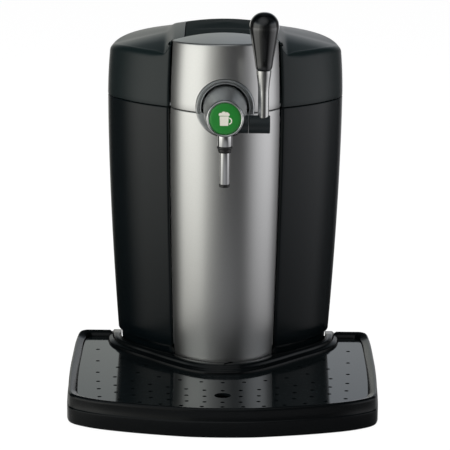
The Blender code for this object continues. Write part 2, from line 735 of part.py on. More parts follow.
def make_front_column():
    column = shell_panel("front_column", column_plan(COLUMN_HALF_WIDTH, 14),
                         [(BODY_BOTTOM_Z, 0), (PLINTH_TOP_Z, 0)] + wall_levels()[3:], silver_lacquer())
    ring_hole = rod("cut_ring_hole", (0, COLUMN_FRONT_Y - OVERRUN, TAP_Z), (0, RING_REAR_Y + OVERRUN, TAP_Z),
                    RING_RADIUS + GAP, silver_lacquer(), 48)
    cut(column, ring_hole)
    cradle = bush("tap_cradle", (0, CRADLE_FRONT_Y, TAP_Z), (0, RING_REAR_Y, TAP_Z),
                  RING_RADIUS, HEAD_RADIUS + GAP, silver_lacquer(), 48)
    half = RING_RADIUS + OVERRUN
    cut(cradle, block("cut_cradle_top", (-half, COLUMN_FRONT_Y - OVERRUN, SEAM_Z - GAP),
                      (half, RING_REAR_Y + OVERRUN, TAP_Z + half), silver_lacquer()))


def make_rear_cover():
    right = rear_plan(REAR_COVER_HALF_WIDTH, 0, 12)
    plan = right + mirrored(right)[1:]
    cover = shell_panel("rear_cover", plan, wall_levels(3), charcoal_plastic())
    slots = []
    rows = [COOLER_Z + VENT_PITCH * (i - (VENT_COUNT - 1) / 2) for i in range(VENT_COUNT)]
    rows += [INTAKE_Z + VENT_PITCH * i for i in range(INTAKE_COUNT)]
    for i, z in enumerate(rows):
        low = (-VENT_WIDTH / 2, rear_y(VENT_WIDTH / 2) - 2 * OVERRUN - WALL, z - VENT_HEIGHT / 2)
        high = (VENT_WIDTH / 2, rear_y(0) + OVERRUN, z + VENT_HEIGHT / 2)
        slots.append(block("slot_%d" % i, low, high, charcoal_plastic()))
    cut(cover, merge_meshes("cut_vents", slots))
    gland_y = rear_y(abs(GLAND_X))
    cut(cover, rod("cut_gland_hole", (GLAND_X, gland_y - GLAND_LENGTH, GLAND_Z),
                   (GLAND_X, gland_y + GLAND_LENGTH, GLAND_Z), GLAND_RADIUS + GAP, charcoal_plastic()))
    low = (SWITCH_X - SWITCH_HALF_WIDTH - GAP, rear_y(SWITCH_X) - 2 * SWITCH_DEPTH,
           SWITCH_Z - SWITCH_HALF_HEIGHT - GAP)
    high = (SWITCH_X + SWITCH_HALF_WIDTH + GAP, rear_y(SWITCH_X) + SWITCH_DEPTH,
            SWITCH_Z + SWITCH_HALF_HEIGHT + GAP)
    cut(cover, block("cut_switch_hole", low, high, charcoal_plastic()))


def make_base():
    plan = plan_at(full_plan(), BASE_PAN_BOTTOM_Z, PLINTH_INSET + WALL + PLATE_CLEARANCE)
    top = BASE_PAN_BOTTOM_Z + BASE_PAN_THICKNESS
    pan = prism("base_pan", plan, BASE_PAN_BOTTOM_Z, top, black_plastic())
    board_bottom = top + STANDOFF_HEIGHT
    boards = [(CONTROL_BOARD_HALF_WIDTH, CONTROL_BOARD_FRONT_Y, CONTROL_BOARD_REAR_Y),
              (POWER_BOARD_HALF_WIDTH, POWER_BOARD_FRONT_Y, POWER_BOARD_REAR_Y)]
    for b, (half, front, rear) in enumerate(boards):
        for side in (-1, 1):
            for end, y in enumerate((front + 2 * STANDOFF_RADIUS, rear - 2 * STANDOFF_RADIUS)):
                x = side * (half - 2 * STANDOFF_RADIUS)
                join(pan, rod("standoff_%d_%d_%d" % (b, side, end), (x, y, top - BASE_PAN_THICKNESS / 2),
                              (x, y, board_bottom), STANDOFF_RADIUS, black_plastic(), 10))
    low = board_bottom + GAP
    high = low + BOARD_THICKNESS
    half, front, rear = boards[0]
    block("control_board", (-half, front, low), (half, rear, high), circuit_board())
    half, front, rear = boards[1]
    block("power_board", (-half, front, low), (half, rear, high), circuit_board())
    middle = (front + rear) / 2
    block("transformer", (-half + STANDOFF_RADIUS, middle - TRANSFORMER_DEPTH / 2, high + GAP),
          (-half + STANDOFF_RADIUS + 2 * TRANSFORMER_HALF_WIDTH, middle + TRANSFORMER_DEPTH / 2,
           high + GAP + TRANSFORMER_HEIGHT), satin_steel())
    spots = [("foot_front_left", -FOOT_FRONT_X, FOOT_FRONT_Y), ("foot_front_right", FOOT_FRONT_X, FOOT_FRONT_Y),
             ("foot_rear_left", -FOOT_REAR_X, FOOT_REAR_Y), ("foot_rear_right", FOOT_REAR_X, FOOT_REAR_Y)]
    for name, x, y in spots:
        rod(name, (x, y, 0), (x, y, BASE_PAN_BOTTOM_Z - GAP), FOOT_RADIUS, rubber(), 20)


# Cold side

def make_chamber():
    axis = (0, WIDEST_Y, 0)
    outer = CHAMBER_RADIUS + CHAMBER_WALL
    flange_top = CHAMBER_FLANGE_Z + CHAMBER_WALL
    turned("cooling_chamber", [
        (0, CHAMBER_FLOOR_Z - CHAMBER_WALL), (outer, CHAMBER_FLOOR_Z - CHAMBER_WALL),
        (outer, CHAMBER_FLANGE_Z), (CHAMBER_FLANGE_RADIUS, CHAMBER_FLANGE_Z),
        (CHAMBER_FLANGE_RADIUS, flange_top), (CHAMBER_RADIUS, flange_top),
        (CHAMBER_RADIUS, CHAMBER_FLOOR_Z), (0, CHAMBER_FLOOR_Z)], axis, (0, 0, 1), aluminium(), 48)
    hollow = outer + GAP
    jacket = turned("insulation_jacket", [
        (0, INSULATION_BOTTOM_Z), (INSULATION_RADIUS, INSULATION_BOTTOM_Z),
        (INSULATION_RADIUS, CHAMBER_FLANGE_Z - GAP), (hollow, CHAMBER_FLANGE_Z - GAP),
        (hollow, CHAMBER_FLOOR_Z - CHAMBER_WALL - GAP), (0, CHAMBER_FLOOR_Z - CHAMBER_WALL - GAP)],
        axis, (0, 0, 1), foam(), 40)
    wide = COLD_BLOCK_HALF + GAP
    cut(jacket, block("cut_cold_window", (-wide, WIDEST_Y + CHAMBER_RADIUS / 2, COOLER_Z - wide),
                      (wide, COLD_BLOCK_REAR_Y, COOLER_Z + wide), foam()))
    pan_top = BASE_PAN_BOTTOM_Z + BASE_PAN_THICKNESS
    bush("chamber_stand", (0, WIDEST_Y, pan_top + GAP), (0, WIDEST_Y, INSULATION_BOTTOM_Z - GAP),
         STAND_RADIUS, STAND_RADIUS - STAND_WALL, black_plastic(), 32)
    deck_bottom = flange_top + GAP
    deck_top = deck_bottom + DECK_THICKNESS
    deck = prism("chamber_deck", plan_at(full_plan(), deck_top, WALL + PLATE_CLEARANCE), deck_bottom, deck_top,
                 charcoal_plastic())
    cut(deck, rod("cut_deck_hole", (0, WIDEST_Y, deck_bottom - OVERRUN), (0, WIDEST_Y, deck_top + OVERRUN),
                  DECK_HOLE_RADIUS, charcoal_plastic(), 48))
    cut(deck, rod("cut_deck_front", (0, COLUMN_FRONT_Y - OVERRUN, TAP_Z), (0, HEAD_REAR_Y + GAP, TAP_Z),
                  RING_RADIUS + GAP, charcoal_plastic(), 48))
    slot_low, slot_high = latch_slot()
    cut(deck, block("cut_deck_slot", (*slot_low, deck_bottom - OVERRUN), (*slot_high, deck_top + OVERRUN),
                    charcoal_plastic()))
    block("latch_striker",
          (slot_low[0], LATCH_LEG_FRONT_Y - LATCH_NOSE - STRIKER_THICKNESS, LATCH_BOTTOM_Z),
          (slot_high[0], LATCH_LEG_FRONT_Y - LATCH_NOSE - GAP, deck_bottom - GAP), satin_steel())


def latch_slot():
    """Plan corners of the slot that the latch hook's leg passes through."""
    half = LATCH_WIDTH / 2 + RUNNING_GAP
    return ((LATCH_X - half, LATCH_LEG_FRONT_Y - LATCH_NOSE - RUNNING_GAP),
            (LATCH_X + half, LATCH_LEG_FRONT_Y + LATCH_LEG_THICKNESS + LATCH_TRAVEL + RUNNING_GAP))


def deck_top_z():
    return CHAMBER_FLANGE_Z + CHAMBER_WALL + GAP + DECK_THICKNESS


# Hot side

def make_cooler():
    wide = COLD_BLOCK_HALF
    block_front = WIDEST_Y + CHAMBER_RADIUS + CHAMBER_WALL + GAP
    block("cold_block", (-wide, block_front, COOLER_Z - wide), (wide, COLD_BLOCK_REAR_Y, COOLER_Z + wide),
          aluminium())
    low = COLD_BLOCK_REAR_Y + GAP
    high = low + PELTIER_THICKNESS
    block("peltier_module", (-wide, low, COOLER_Z - wide), (wide, high, COOLER_Z + wide), grey_plastic())
    front = high + GAP
    base = front + SINK_BASE
    rear = base + SINK_FIN_DEPTH
    pitch = (2 * SINK_HALF_WIDTH - SINK_FIN) / (SINK_FIN_COUNT - 1)
    outline = [(-SINK_HALF_WIDTH, front), (SINK_HALF_WIDTH, front)]
    for i in reversed(range(SINK_FIN_COUNT)):
        left = -SINK_HALF_WIDTH + pitch * i
        right = left + SINK_FIN
        if i < SINK_FIN_COUNT - 1:
            outline.append((right, base))
        outline += [(right, rear), (left, rear)]
        if i > 0:
            outline.append((left, base))
    prism("heat_sink", outline, COOLER_Z - SINK_HALF_HEIGHT, COOLER_Z + SINK_HALF_HEIGHT, aluminium())
    make_fan(rear + GAP)


def make_fan(front):
    rear = front + FAN_DEPTH
    low, high = (-FAN_HALF, front, COOLER_Z - FAN_HALF), (FAN_HALF, rear, COOLER_Z + FAN_HALF)
    frame = block("fan_frame", low, high, black_plastic())
    cut(frame, rod("cut_fan_bore", (0, front - OVERRUN, COOLER_Z), (0, rear + OVERRUN, COOLER_Z),
                   FAN_BORE, black_plastic(), 32))
    spider = rear - OVERRUN
    join(frame, rod("fan_motor_plate", (0, spider, COOLER_Z), (0, rear, COOLER_Z),
                    ROTOR_HUB_RADIUS, black_plastic(), 24))
    arm = BLADE_THICKNESS
    reach = (FAN_BORE + FAN_HALF) / 2
    join(frame, block("fan_arm_across", (-reach, spider, COOLER_Z - arm), (reach, rear, COOLER_Z + arm),
                      black_plastic()))
    join(frame, block("fan_arm_upright", (-arm, spider, COOLER_Z - reach), (arm, rear, COOLER_Z + reach),
                      black_plastic()))
    hub_front, hub_rear = front + BLADE_THICKNESS, spider - GAP
    middle = (hub_front + hub_rear) / 2
    rotor = rod("fan_rotor", (0, hub_front, COOLER_Z), (0, hub_rear, COOLER_Z), ROTOR_HUB_RADIUS,
                black_plastic(), 24)
    for i in range(ROTOR_BLADES):
        blade = block("fan_blade_%d" % i, (ROTOR_HUB_RADIUS - OVERRUN, -BLADE_CHORD / 2, -BLADE_THICKNESS / 2),
                      (ROTOR_RADIUS, BLADE_CHORD / 2, BLADE_THICKNESS / 2), black_plastic())
        blade.rotation_mode = "QUATERNION"
        twist = Vector((0, 1, 0)).rotation_difference(Vector((0, math.sin(BLADE_PITCH), math.cos(BLADE_PITCH))))
        turn = 2 * math.pi * i / ROTOR_BLADES
        spin = Quaternion((0, 1, 0), turn)
        blade.rotation_quaternion = spin @ twist
        blade.location = (0, middle, COOLER_Z)
        join(rotor, blade)


# Rear fittings

def make_rear_fittings():
    wall_y = rear_y(abs(GLAND_X))
    proud = wall_y + GAP
    turned("cord_gland", [
        (GLAND_BORE, -GLAND_LENGTH), (GLAND_RADIUS, -GLAND_LENGTH), (GLAND_RADIUS, OVERRUN),
        (GLAND_FLANGE_RADIUS, OVERRUN), (GLAND_FLANGE_RADIUS, 2 * OVERRUN),
        (GLAND_BORE, 2 * OVERRUN)], (GLAND_X, proud, GLAND_Z), (0, 1, 0), rubber(), 20)
    low = (SWITCH_X - SWITCH_HALF_WIDTH, rear_y(SWITCH_X) - SWITCH_DEPTH, SWITCH_Z - SWITCH_HALF_HEIGHT)
    high = (SWITCH_X + SWITCH_HALF_WIDTH, rear_y(SWITCH_X) + SWITCH_PROUD, SWITCH_Z + SWITCH_HALF_HEIGHT)
    housing = block("switch_housing", low, high, black_plastic())
    wall = SWITCH_WALL
    cut(housing, block("cut_switch_well", (low[0] + wall, low[1] + wall, low[2] + wall),
                       (high[0] - wall, high[1] + OVERRUN, high[2] - wall), black_plastic()))
    well = (SWITCH_HALF_HEIGHT - wall - RUNNING_GAP) * ROCKER_HEIGHT_SHARE
    half = SWITCH_HALF_WIDTH - wall - RUNNING_GAP
    rise = well * math.tan(ROCKER_TILT)
    side = [(0, -well), (0, well), (ROCKER_THICKNESS, well), (ROCKER_THICKNESS - rise, 0),
            (ROCKER_THICKNESS, -well)]
    verts = []
    for x in (SWITCH_X - half, SWITCH_X + half):
        for y, z in side:
            tilted_y = y * math.cos(ROCKER_TILT) + z * math.sin(ROCKER_TILT)
            tilted_z = z * math.cos(ROCKER_TILT) - y * math.sin(ROCKER_TILT)
            verts.append((x, high[1] - ROCKER_THICKNESS + tilted_y, SWITCH_Z + tilted_z))
    faces = [(0, 1, 2, 3, 4), (5, 6, 7, 8, 9)]
    for i in range(5):
        j = (i + 1) % 5
        faces.append((i, j, 5 + j, 5 + i))
    new_object("switch_rocker", verts, faces, black_plastic())


def knuckle(name, start_x, end_x, low_z, high_z, hollow, surface):
    """A hinge barrel with a leaf that seats on the housing wall."""
    body = bush(name, (start_x, HINGE_Y, HINGE_Z), (end_x, HINGE_Y, HINGE_Z), KNUCKLE_RADIUS,
                HINGE_PIN_RADIUS + HINGE_BORE_CLEARANCE, surface, 20)
    wall = rear_y(max(abs(start_x), abs(end_x)) / width_scale(SEAM_Z))
    leaf = block("leaf_" + name, (start_x, wall - KNUCKLE_RADIUS, low_z), (end_x, LEAF_REAR_Y, high_z), surface)
    cut(leaf, hollow)
    join(body, leaf)
    return body


def make_hinges():
    grown = -GAP
    below = SEAM_Z - LEAF_HEIGHT - OVERRUN
    above = SEAM_Z + LEAF_HEIGHT + OVERRUN
    pin_reach = BRACKET_INNER_X + 2 * KNUCKLE_LENGTH + GAP
    clear = rod("cut_leaf_bore", (-pin_reach, HINGE_Y, HINGE_Z), (pin_reach, HINGE_Y, HINGE_Z),
                HINGE_PIN_RADIUS + HINGE_BORE_CLEARANCE, satin_steel(), 20)
    sides = (("right", 1), ("left", -1))
    for label, side in sides:
        near = side * BRACKET_INNER_X
        middle = side * (BRACKET_INNER_X + KNUCKLE_LENGTH)
        far = side * (BRACKET_INNER_X + 2 * KNUCKLE_LENGTH)
        body_wall = prism("cut_body_wall_" + label, plan_at(full_plan(4, 4, 24), SEAM_Z, grown), below, above,
                          satin_steel())
        lid_wall = prism("cut_lid_wall_" + label, plan_at(full_plan(4, 4, 24), SEAM_Z, grown), below, above,
                         satin_steel())
        bracket = knuckle("hinge_bracket_" + label, min(near, middle), max(near, middle),
                          SEAM_Z - LEAF_HEIGHT, HINGE_Z, body_wall, black_plastic())
        cut(bracket, clear)
        edge = middle + side * GAP
        leaf = knuckle("lid_hinge_leaf_" + label, min(edge, far), max(edge, far),
                       HINGE_Z, SEAM_Z + LEAF_HEIGHT, lid_wall, black_plastic())
        cut(leaf, clear)
    rod("hinge_pin", (-pin_reach, HINGE_Y, HINGE_Z), (pin_reach, HINGE_Y, HINGE_Z), HINGE_PIN_RADIUS,
        satin_steel(), 16)


# Tap

def head_radius(y):
    """Outer radius of the tap head, which tapers in a soft curve towards the badge."""
    if y > HEAD_SHOULDER_Y:
        return HEAD_RADIUS
    share = (HEAD_SHOULDER_Y - y) / (HEAD_SHOULDER_Y - HEAD_FRONT_Y)
    return HEAD_RADIUS - (HEAD_RADIUS - HEAD_FRONT_RADIUS) * share ** 1.5


def head_profile(grown=0.0, steps=4):
    ys = [HEAD_REAR_Y] + [HEAD_SHOULDER_Y + (HEAD_FRONT_Y - HEAD_SHOULDER_Y) * i / steps
                          for i in range(steps + 1)]
    return [(head_radius(y) + grown, y) for y in ys]


def make_tap_head():
    outer = head_profile()
    inner = [(r - HEAD_WALL, y) for r, y in reversed(outer)]
    head = turned("tap_head", outer + inner, (0, 0, TAP_Z), (0, 1, 0), satin_steel(), 32)
    cut(head, rod("cut_spout_hole", (0, SPOUT_Y, SPOUT_COLLAR_BOTTOM_Z), (0, SPOUT_Y, TAP_Z),
                  SPOUT_COLLAR_RADIUS + GAP, satin_steel()))
    cut(head, rod("cut_shaft_hole", (CRANK_X, PIVOT_Y, PIVOT_Z), (BARREL_END_X, PIVOT_Y, PIVOT_Z),
                  SHAFT_RADIUS + RUNNING_GAP, satin_steel(), 16))
    bezel_rear = HEAD_FRONT_Y - GAP
    bezel_front = bezel_rear - BEZEL_DEPTH
    bore = BADGE_RADIUS + GAP
    turned("badge_bezel", [
        (bore, bezel_rear), (HEAD_FRONT_RADIUS, bezel_rear), (HEAD_FRONT_RADIUS, bezel_front + BEZEL_DEPTH / 3),
        ((HEAD_FRONT_RADIUS + bore) / 2, bezel_front), (bore, bezel_front + BEZEL_DEPTH / 3)],
        (0, 0, TAP_Z), (0, 1, 0), chrome(), 32)
    badge_front = bezel_front + BADGE_RECESS + BEZEL_DEPTH / 3
    rod("tap_badge", (0, badge_front, TAP_Z), (0, badge_front + BADGE_THICKNESS, TAP_Z), BADGE_RADIUS,
        badge_green(), 32)


def make_spout():
    bore = SPOUT_TUBE_RADIUS + GAP
    collar_bottom = SPOUT_COLLAR_BOTTOM_Z
    bush("spout_collar", (0, SPOUT_Y, collar_bottom), (0, SPOUT_Y, SPOUT_COLLAR_TOP_Z), SPOUT_COLLAR_RADIUS,
         bore, chrome())
    turned("nozzle_seal", [
        (bore, SEAL_BOTTOM_Z), (SEAL_BOTTOM_RADIUS, SEAL_BOTTOM_Z), (SEAL_TOP_RADIUS, collar_bottom - GAP),
        (bore, collar_bottom - GAP)], (0, SPOUT_Y, 0), (0, 0, 1), rubber(), 24)
    bush("spout_tube", (0, SPOUT_Y, SPOUT_TUBE_BOTTOM_Z), (0, SPOUT_Y, SPOUT_COLLAR_TOP_Z), SPOUT_TUBE_RADIUS,
         SPOUT_TUBE_BORE, chrome())
    bush("spout_tip", (0, SPOUT_Y, SPOUT_TIP_BOTTOM_Z), (0, SPOUT_Y, SPOUT_TUBE_BOTTOM_Z - GAP),
         SPOUT_TIP_RADIUS, SPOUT_TUBE_BORE, rubber())
    start_z = SPOUT_COLLAR_BOTTOM_Z
    bend_z = BEER_TUBE_Z - BEER_TUBE_BEND
    bend_y = SPOUT_Y + BEER_TUBE_BEND
    path = [(0, SPOUT_Y, start_z), (0, SPOUT_Y, (start_z + bend_z) / 2)]
    for i in range(7):
        angle = math.pi / 2 * i / 6
        path.append((0, bend_y - BEER_TUBE_BEND * math.cos(angle), bend_z + BEER_TUBE_BEND * math.sin(angle)))
    path += [(0, (bend_y + COUPLING_FRONT_Y) / 2, BEER_TUBE_Z), (0, COUPLING_FRONT_Y - GAP, BEER_TUBE_Z)]
    pipe("beer_tube", path, BEER_TUBE_RADIUS, BEER_TUBE_BORE, clear_tube())
    coupling = block("tube_coupling", (-COUPLING_HALF_WIDTH, COUPLING_FRONT_Y, deck_top_z() + GAP),
                     (COUPLING_HALF_WIDTH, COUPLING_REAR_Y - RUNNING_GAP, BEER_TUBE_Z + COUPLING_HALF_WIDTH),
                     grey_plastic())
    cut(coupling, rod("cut_coupling_bore", (0, COUPLING_FRONT_Y - OVERRUN, BEER_TUBE_Z),
                      (0, COUPLING_REAR_Y + OVERRUN, BEER_TUBE_Z), BEER_TUBE_BORE, grey_plastic(), 12))


def make_lever():
    pivot = (PIVOT_Y, PIVOT_Z)
    holder = rod("pivot_block", (PIVOT_BLOCK_START_X, *pivot), (BARREL_START_X - GAP, *pivot), BARREL_RADIUS,
                 dark_satin(), 28)
    grown = head_profile(GAP)
    cut(holder, turned("cut_head_shape", [(0, grown[0][1])] + grown + [(0, grown[-1][1])],
                       (0, 0, TAP_Z), (0, 1, 0), dark_satin(), 40))
    cut(holder, rod("cut_pivot_bore", (0, *pivot), (BARREL_END_X, *pivot), SHAFT_RADIUS + RUNNING_GAP,
                    dark_satin(), 16))
    edge = BARREL_CHAMFER
    length = BARREL_END_X - BARREL_START_X
    barrel = turned("lever_barrel", [
        (0, 0), (BARREL_RADIUS, 0), (BARREL_RADIUS, length - edge),
        (BARREL_RADIUS - edge, length), (0, length)], (BARREL_START_X, *pivot), (1, 0, 0), dark_satin(), 32)
    socket_bottom = PIVOT_Z + BARREL_RADIUS - ROD_SOCKET_DEPTH
    cut(barrel, rod("cut_rod_socket", (LEVER_X, PIVOT_Y, socket_bottom),
                    (LEVER_X, PIVOT_Y, PIVOT_Z + 2 * BARREL_RADIUS), ROD_RADIUS + GAP, satin_steel()))
    foot = socket_bottom + GAP
    top = KNOB_BOTTOM_Z - GAP
    turned("lever_rod", [
        (0, foot), (ROD_RADIUS, foot), (ROD_RADIUS, ROD_FLARE_Z),
        ((ROD_RADIUS + ROD_FLARE_RADIUS) / 2, (ROD_FLARE_Z + 2 * top) / 3), (ROD_FLARE_RADIUS, top), (0, top)],
        (LEVER_X, PIVOT_Y, 0), (0, 0, 1), satin_steel(), 24)
    height = KNOB_TOP_Z - KNOB_BOTTOM_Z
    profile = [(share_r * KNOB_RADIUS, share_z * height) for share_z, share_r in KNOB_PROFILE_SHARES]
    turned("lever_knob", [(0, 0)] + profile + [(0, height)], (LEVER_X, PIVOT_Y, KNOB_BOTTOM_Z), (0, 0, 1),
           black_gloss(), 20)
    make_pinch()


def make_pinch():
    shaft = rod("lever_shaft", (CRANK_X, PIVOT_Y, PIVOT_Z), (BARREL_START_X - GAP, PIVOT_Y, PIVOT_Z), SHAFT_RADIUS,
                satin_steel(), 16)
    plate_half = SHAFT_RADIUS * 0.7
    pin_z = PIVOT_Z - CRANK_THROW
    foot_z = pin_z - 2 * CRANK_PIN_RADIUS
    plate = block("crank_plate", (CRANK_X, PIVOT_Y - plate_half, foot_z),
                  (CRANK_X + CRANK_PLATE, PIVOT_Y + plate_half, PIVOT_Z), satin_steel())
    join(shaft, plate)
    join(shaft, rod("crank_pin", (CRANK_X / 4, PIVOT_Y, pin_z), (CRANK_X + CRANK_PLATE / 2, PIVOT_Y, pin_z),
                    CRANK_PIN_RADIUS, satin_steel(), 12))
    nose_y = SPOUT_Y + BEER_TUBE_RADIUS + RUNNING_GAP
    low_z = foot_z + CRANK_PIN_RADIUS / 2
    slider = block("pinch_slider", (-SLIDER_HALF_WIDTH, nose_y, low_z),
                   (SLIDER_HALF_WIDTH, SLIDER_REAR_Y, PIVOT_Z + CRANK_PIN_RADIUS), grey_plastic())
    slot_half = CRANK_PIN_RADIUS + 1.5 * RUNNING_GAP
    cut(slider, block("cut_crank_slot", (CRANK_X / 4 - RUNNING_GAP, PIVOT_Y - slot_half, low_z - OVERRUN),
                      (CRANK_X + OVERRUN, PIVOT_Y + slot_half, PIVOT_Z - CRANK_PIN_RADIUS), grey_plastic()))
    anvil_y = SPOUT_Y - BEER_TUBE_RADIUS - RUNNING_GAP
    anvil_rear = anvil_y - SLIDER_HALF_WIDTH
    bed = head_radius(anvil_rear) - HEAD_WALL - GAP
    half = SLIDER_HALF_WIDTH
    bed_z = TAP_Z - math.sqrt(bed ** 2 - half ** 2)
    block("pinch_anvil", (-half, anvil_rear, bed_z), (half, anvil_y, PIVOT_Z), grey_plastic())


# Lid

def lid_rings(shrink, drop):
    """Closed rings of the lid's surface, from the seam up the wall, round the edge and over the top."""
    column_steps = 14
    plan = full_plan(column_steps, 8, 9)
    rings = []
    low = SEAM_Z + GAP
    radii = [PANEL_EDGE_RADIUS if i <= column_steps else LID_EDGE_RADIUS for i in range(len(plan))]
    edges = {r: plan_at(plan, LID_NARROWING_Z, r + shrink) for r in set(radii)}
    tops = []
    for i, r in enumerate(radii):
        x, y = edges[r][i]
        tops.append((x, y, lid_top_z(x, y) - drop))
    for share in (0, 0.5, 1):
        ring = []
        for i, r in enumerate(radii):
            z = low + (tops[i][2] - r - low) * share
            x, y = plan_at(plan, z, shrink)[i]
            ring.append((x, y, z))
        rings.append(ring)
    for angle in (math.radians(30), math.radians(60)):
        ring = []
        for i, r in enumerate(radii):
            x0, y0, z0 = rings[2][i]
            x1, y1, z1 = tops[i]
            out, up = 1 - math.cos(angle), math.sin(angle)
            ring.append((x0 + (x1 - x0) * out, y0 + (y1 - y0) * out, z0 + (z1 - z0) * up))
        rings.append(ring)
    rings.append(tops)
    for share in (0.92, 0.84, 0.75, 0.65, 0.55, 0.42, 0.22):
        ring = []
        for x, y, _ in tops:
            px, py = x * share, WIDEST_Y + (y - WIDEST_Y) * share
            ring.append((px, py, lid_top_z(px, py) - drop))
        rings.append(ring)
    return rings


def make_lid_shell():
    outer, inner = lid_rings(0, 0), lid_rings(WALL, WALL)
    count, rows = len(outer[0]), len(outer)
    verts = [p for ring in outer for p in ring] + [p for ring in inner for p in ring]
    half = rows * count
    faces = []
    for r in range(rows - 1):
        for i in range(count):
            j = (i + 1) % count
            a, b, c, d = r * count + i, r * count + j, (r + 1) * count + j, (r + 1) * count + i
            faces.append((a, b, c, d))
            faces.append((half + d, half + c, half + b, half + a))
    for i in range(count):
        j = (i + 1) % count
        faces.append((j, i, half + i, half + j))
    crown = len(verts)
    verts += [(0, WIDEST_Y, lid_top_z(0, WIDEST_Y)), (0, WIDEST_Y, lid_top_z(0, WIDEST_Y) - WALL)]
    last = (rows - 1) * count
    for i in range(count):
        j = (i + 1) % count
        faces.append((last + i, last + j, crown))
        faces.append((half + last + j, half + last + i, crown + 1))
    shell = new_object("lid_shell", verts, faces, lid_plastic())
    steps = 12
    width = COLUMN_HALF_WIDTH
    xs = [width * (2 * i / steps - 1) for i in range(steps + 1)]
    opening = [(x, panel_arc_y(x) + GAP) for x in reversed(xs)]
    opening = [(-width, COLUMN_FRONT_Y - OVERRUN), (width, COLUMN_FRONT_Y - OVERRUN)] + opening
    cut(shell, prism("cut_panel_opening", opening, SEAM_Z - OVERRUN, HUMP_TOP_Z + OVERRUN, lid_plastic()))
    strip = strip_outline(0)
    cut(shell, prism("cut_button_opening", strip, CARRIER_TOP_Z, HUMP_TOP_Z + OVERRUN, lid_plastic()))
    return shell


def strip_outline(margin):
    """Plan of the release strip: it starts on the panel's arc and ends square behind the crown."""
    half = BUTTON_HALF_WIDTH - margin
    steps = 8
    xs = [half * (2 * i / steps - 1) for i in range(steps + 1)]
    front = [(x, panel_arc_y(x) + margin) for x in xs]
    return front + [(half, BUTTON_REAR_Y - margin), (-half, BUTTON_REAR_Y - margin)]


def make_lid_panel():
    """Silver sheet: up the front of the lid, over a tight edge, and back to its arc on top."""
    steps = 16
    half = COLUMN_HALF_WIDTH - GAP
    outer, inner = [], []
    for grid, shrink in ((outer, 0), (inner, PANEL_THICKNESS)):
        plan = column_plan(half, steps)
        wall = plan_at(plan, LID_NARROWING_Z, PANEL_EDGE_RADIUS + shrink, False)
        tops = [(x, y, lid_top_z(x, y) - shrink) for x, y in wall]
        low = SEAM_Z + GAP
        for share in (0, 0.35, 0.7, 1):
            row = []
            for i, (_, _, top) in enumerate(tops):
                z = low + (top - PANEL_EDGE_RADIUS - low) * share
                x, y = plan_at(plan, z, shrink, False)[i]
                row.append((x, y, z))
            grid.append(row)
        for angle in (math.radians(45), math.radians(90)):
            out, up = 1 - math.cos(angle), math.sin(angle)
            grid.append([(x0 + (x1 - x0) * out, y0 + (y1 - y0) * out, z0 + (z1 - z0) * up)
                         for (x0, y0, z0), (x1, y1, z1) in zip(grid[3], tops)])
        for share in (0.35, 0.7, 1):
            row = []
            for x, y, _ in tops:
                back = y + (panel_arc_y(x) - y) * share
                row.append((x, back, lid_top_z(x, back) - shrink))
            grid.append(row)
    panel = sheet_solid("lid_front_panel", outer, inner, silver_lacquer())
    cut(panel, rod("cut_panel_ring", (0, COLUMN_FRONT_Y - OVERRUN, TAP_Z), (0, RING_REAR_Y + OVERRUN, TAP_Z),
                   RING_RADIUS + GAP, silver_lacquer(), 48))
    ring = bush("tap_ring", (0, RING_FRONT_Y, TAP_Z), (0, RING_REAR_Y, TAP_Z), RING_RADIUS, RING_BORE,
                silver_lacquer(), 48)
    half_box = RING_RADIUS + OVERRUN
    cut(ring, block("cut_ring_bottom", (-half_box, RING_FRONT_Y - OVERRUN, TAP_Z - half_box),
                    (half_box, RING_REAR_Y + OVERRUN, SEAM_Z + GAP), silver_lacquer()))


def make_button():
    margin = BUTTON_MARGIN
    half = BUTTON_HALF_WIDTH - margin
    across, along = 8, 8
    outer, inner = [], []
    for r in range(along + 1):
        top_row, low_row = [], []
        for c in range(across + 1):
            x = half * (2 * c / across - 1)
            front = panel_arc_y(x) + margin + GAP
            y = front + (BUTTON_REAR_Y - margin - front) * r / along
            z = lid_top_z(x, y)
            top_row.append((x, y, z))
            low_row.append((x, y, z - BUTTON_THICKNESS))
        outer.append(top_row)
        inner.append(low_row)
    sheet_solid("lid_button", outer, inner, lid_plastic())


def make_lid_inside():
    plate_bottom = SEAM_Z + GAP + WALL / 2
    plate_top = plate_bottom + LINER_PLATE_THICKNESS
    outline = plan_at(full_plan(), SEAM_Z, WALL + PLATE_CLEARANCE)
    liner = prism("lid_liner", outline, plate_bottom, plate_top, grey_plastic())
    join(liner, rod("liner_plug", (0, WIDEST_Y, LINER_PLUG_BOTTOM_Z), (0, WIDEST_Y, plate_top - GAP),
                    LINER_PLUG_RADIUS, grey_plastic(), 48))
    clear = RING_BORE - GAP
    cut(liner, block("cut_liner_front", (-clear, COLUMN_FRONT_Y - OVERRUN, plate_bottom - OVERRUN),
                     (clear, COUPLING_REAR_Y + RUNNING_GAP, plate_top + OVERRUN), grey_plastic()))
    ring_room = RING_RADIUS + GAP
    cut(liner, rod("cut_liner_ring", (0, COLUMN_FRONT_Y - OVERRUN, TAP_Z), (0, RING_REAR_Y + GAP, TAP_Z),
                   ring_room, grey_plastic(), 48))
    slot_low, slot_high = latch_slot()
    cut(liner, block("cut_liner_slot", (*slot_low, plate_bottom - OVERRUN), (*slot_high, plate_top + OVERRUN),
                     grey_plastic()))
    bush("lid_gasket", (0, WIDEST_Y, deck_top_z() + GAP), (0, WIDEST_Y, plate_bottom - GAP),
         GASKET_OUTER_RADIUS, GASKET_INNER_RADIUS, rubber(), 40)
    make_latch(plate_top)
    make_carrier(plate_top)


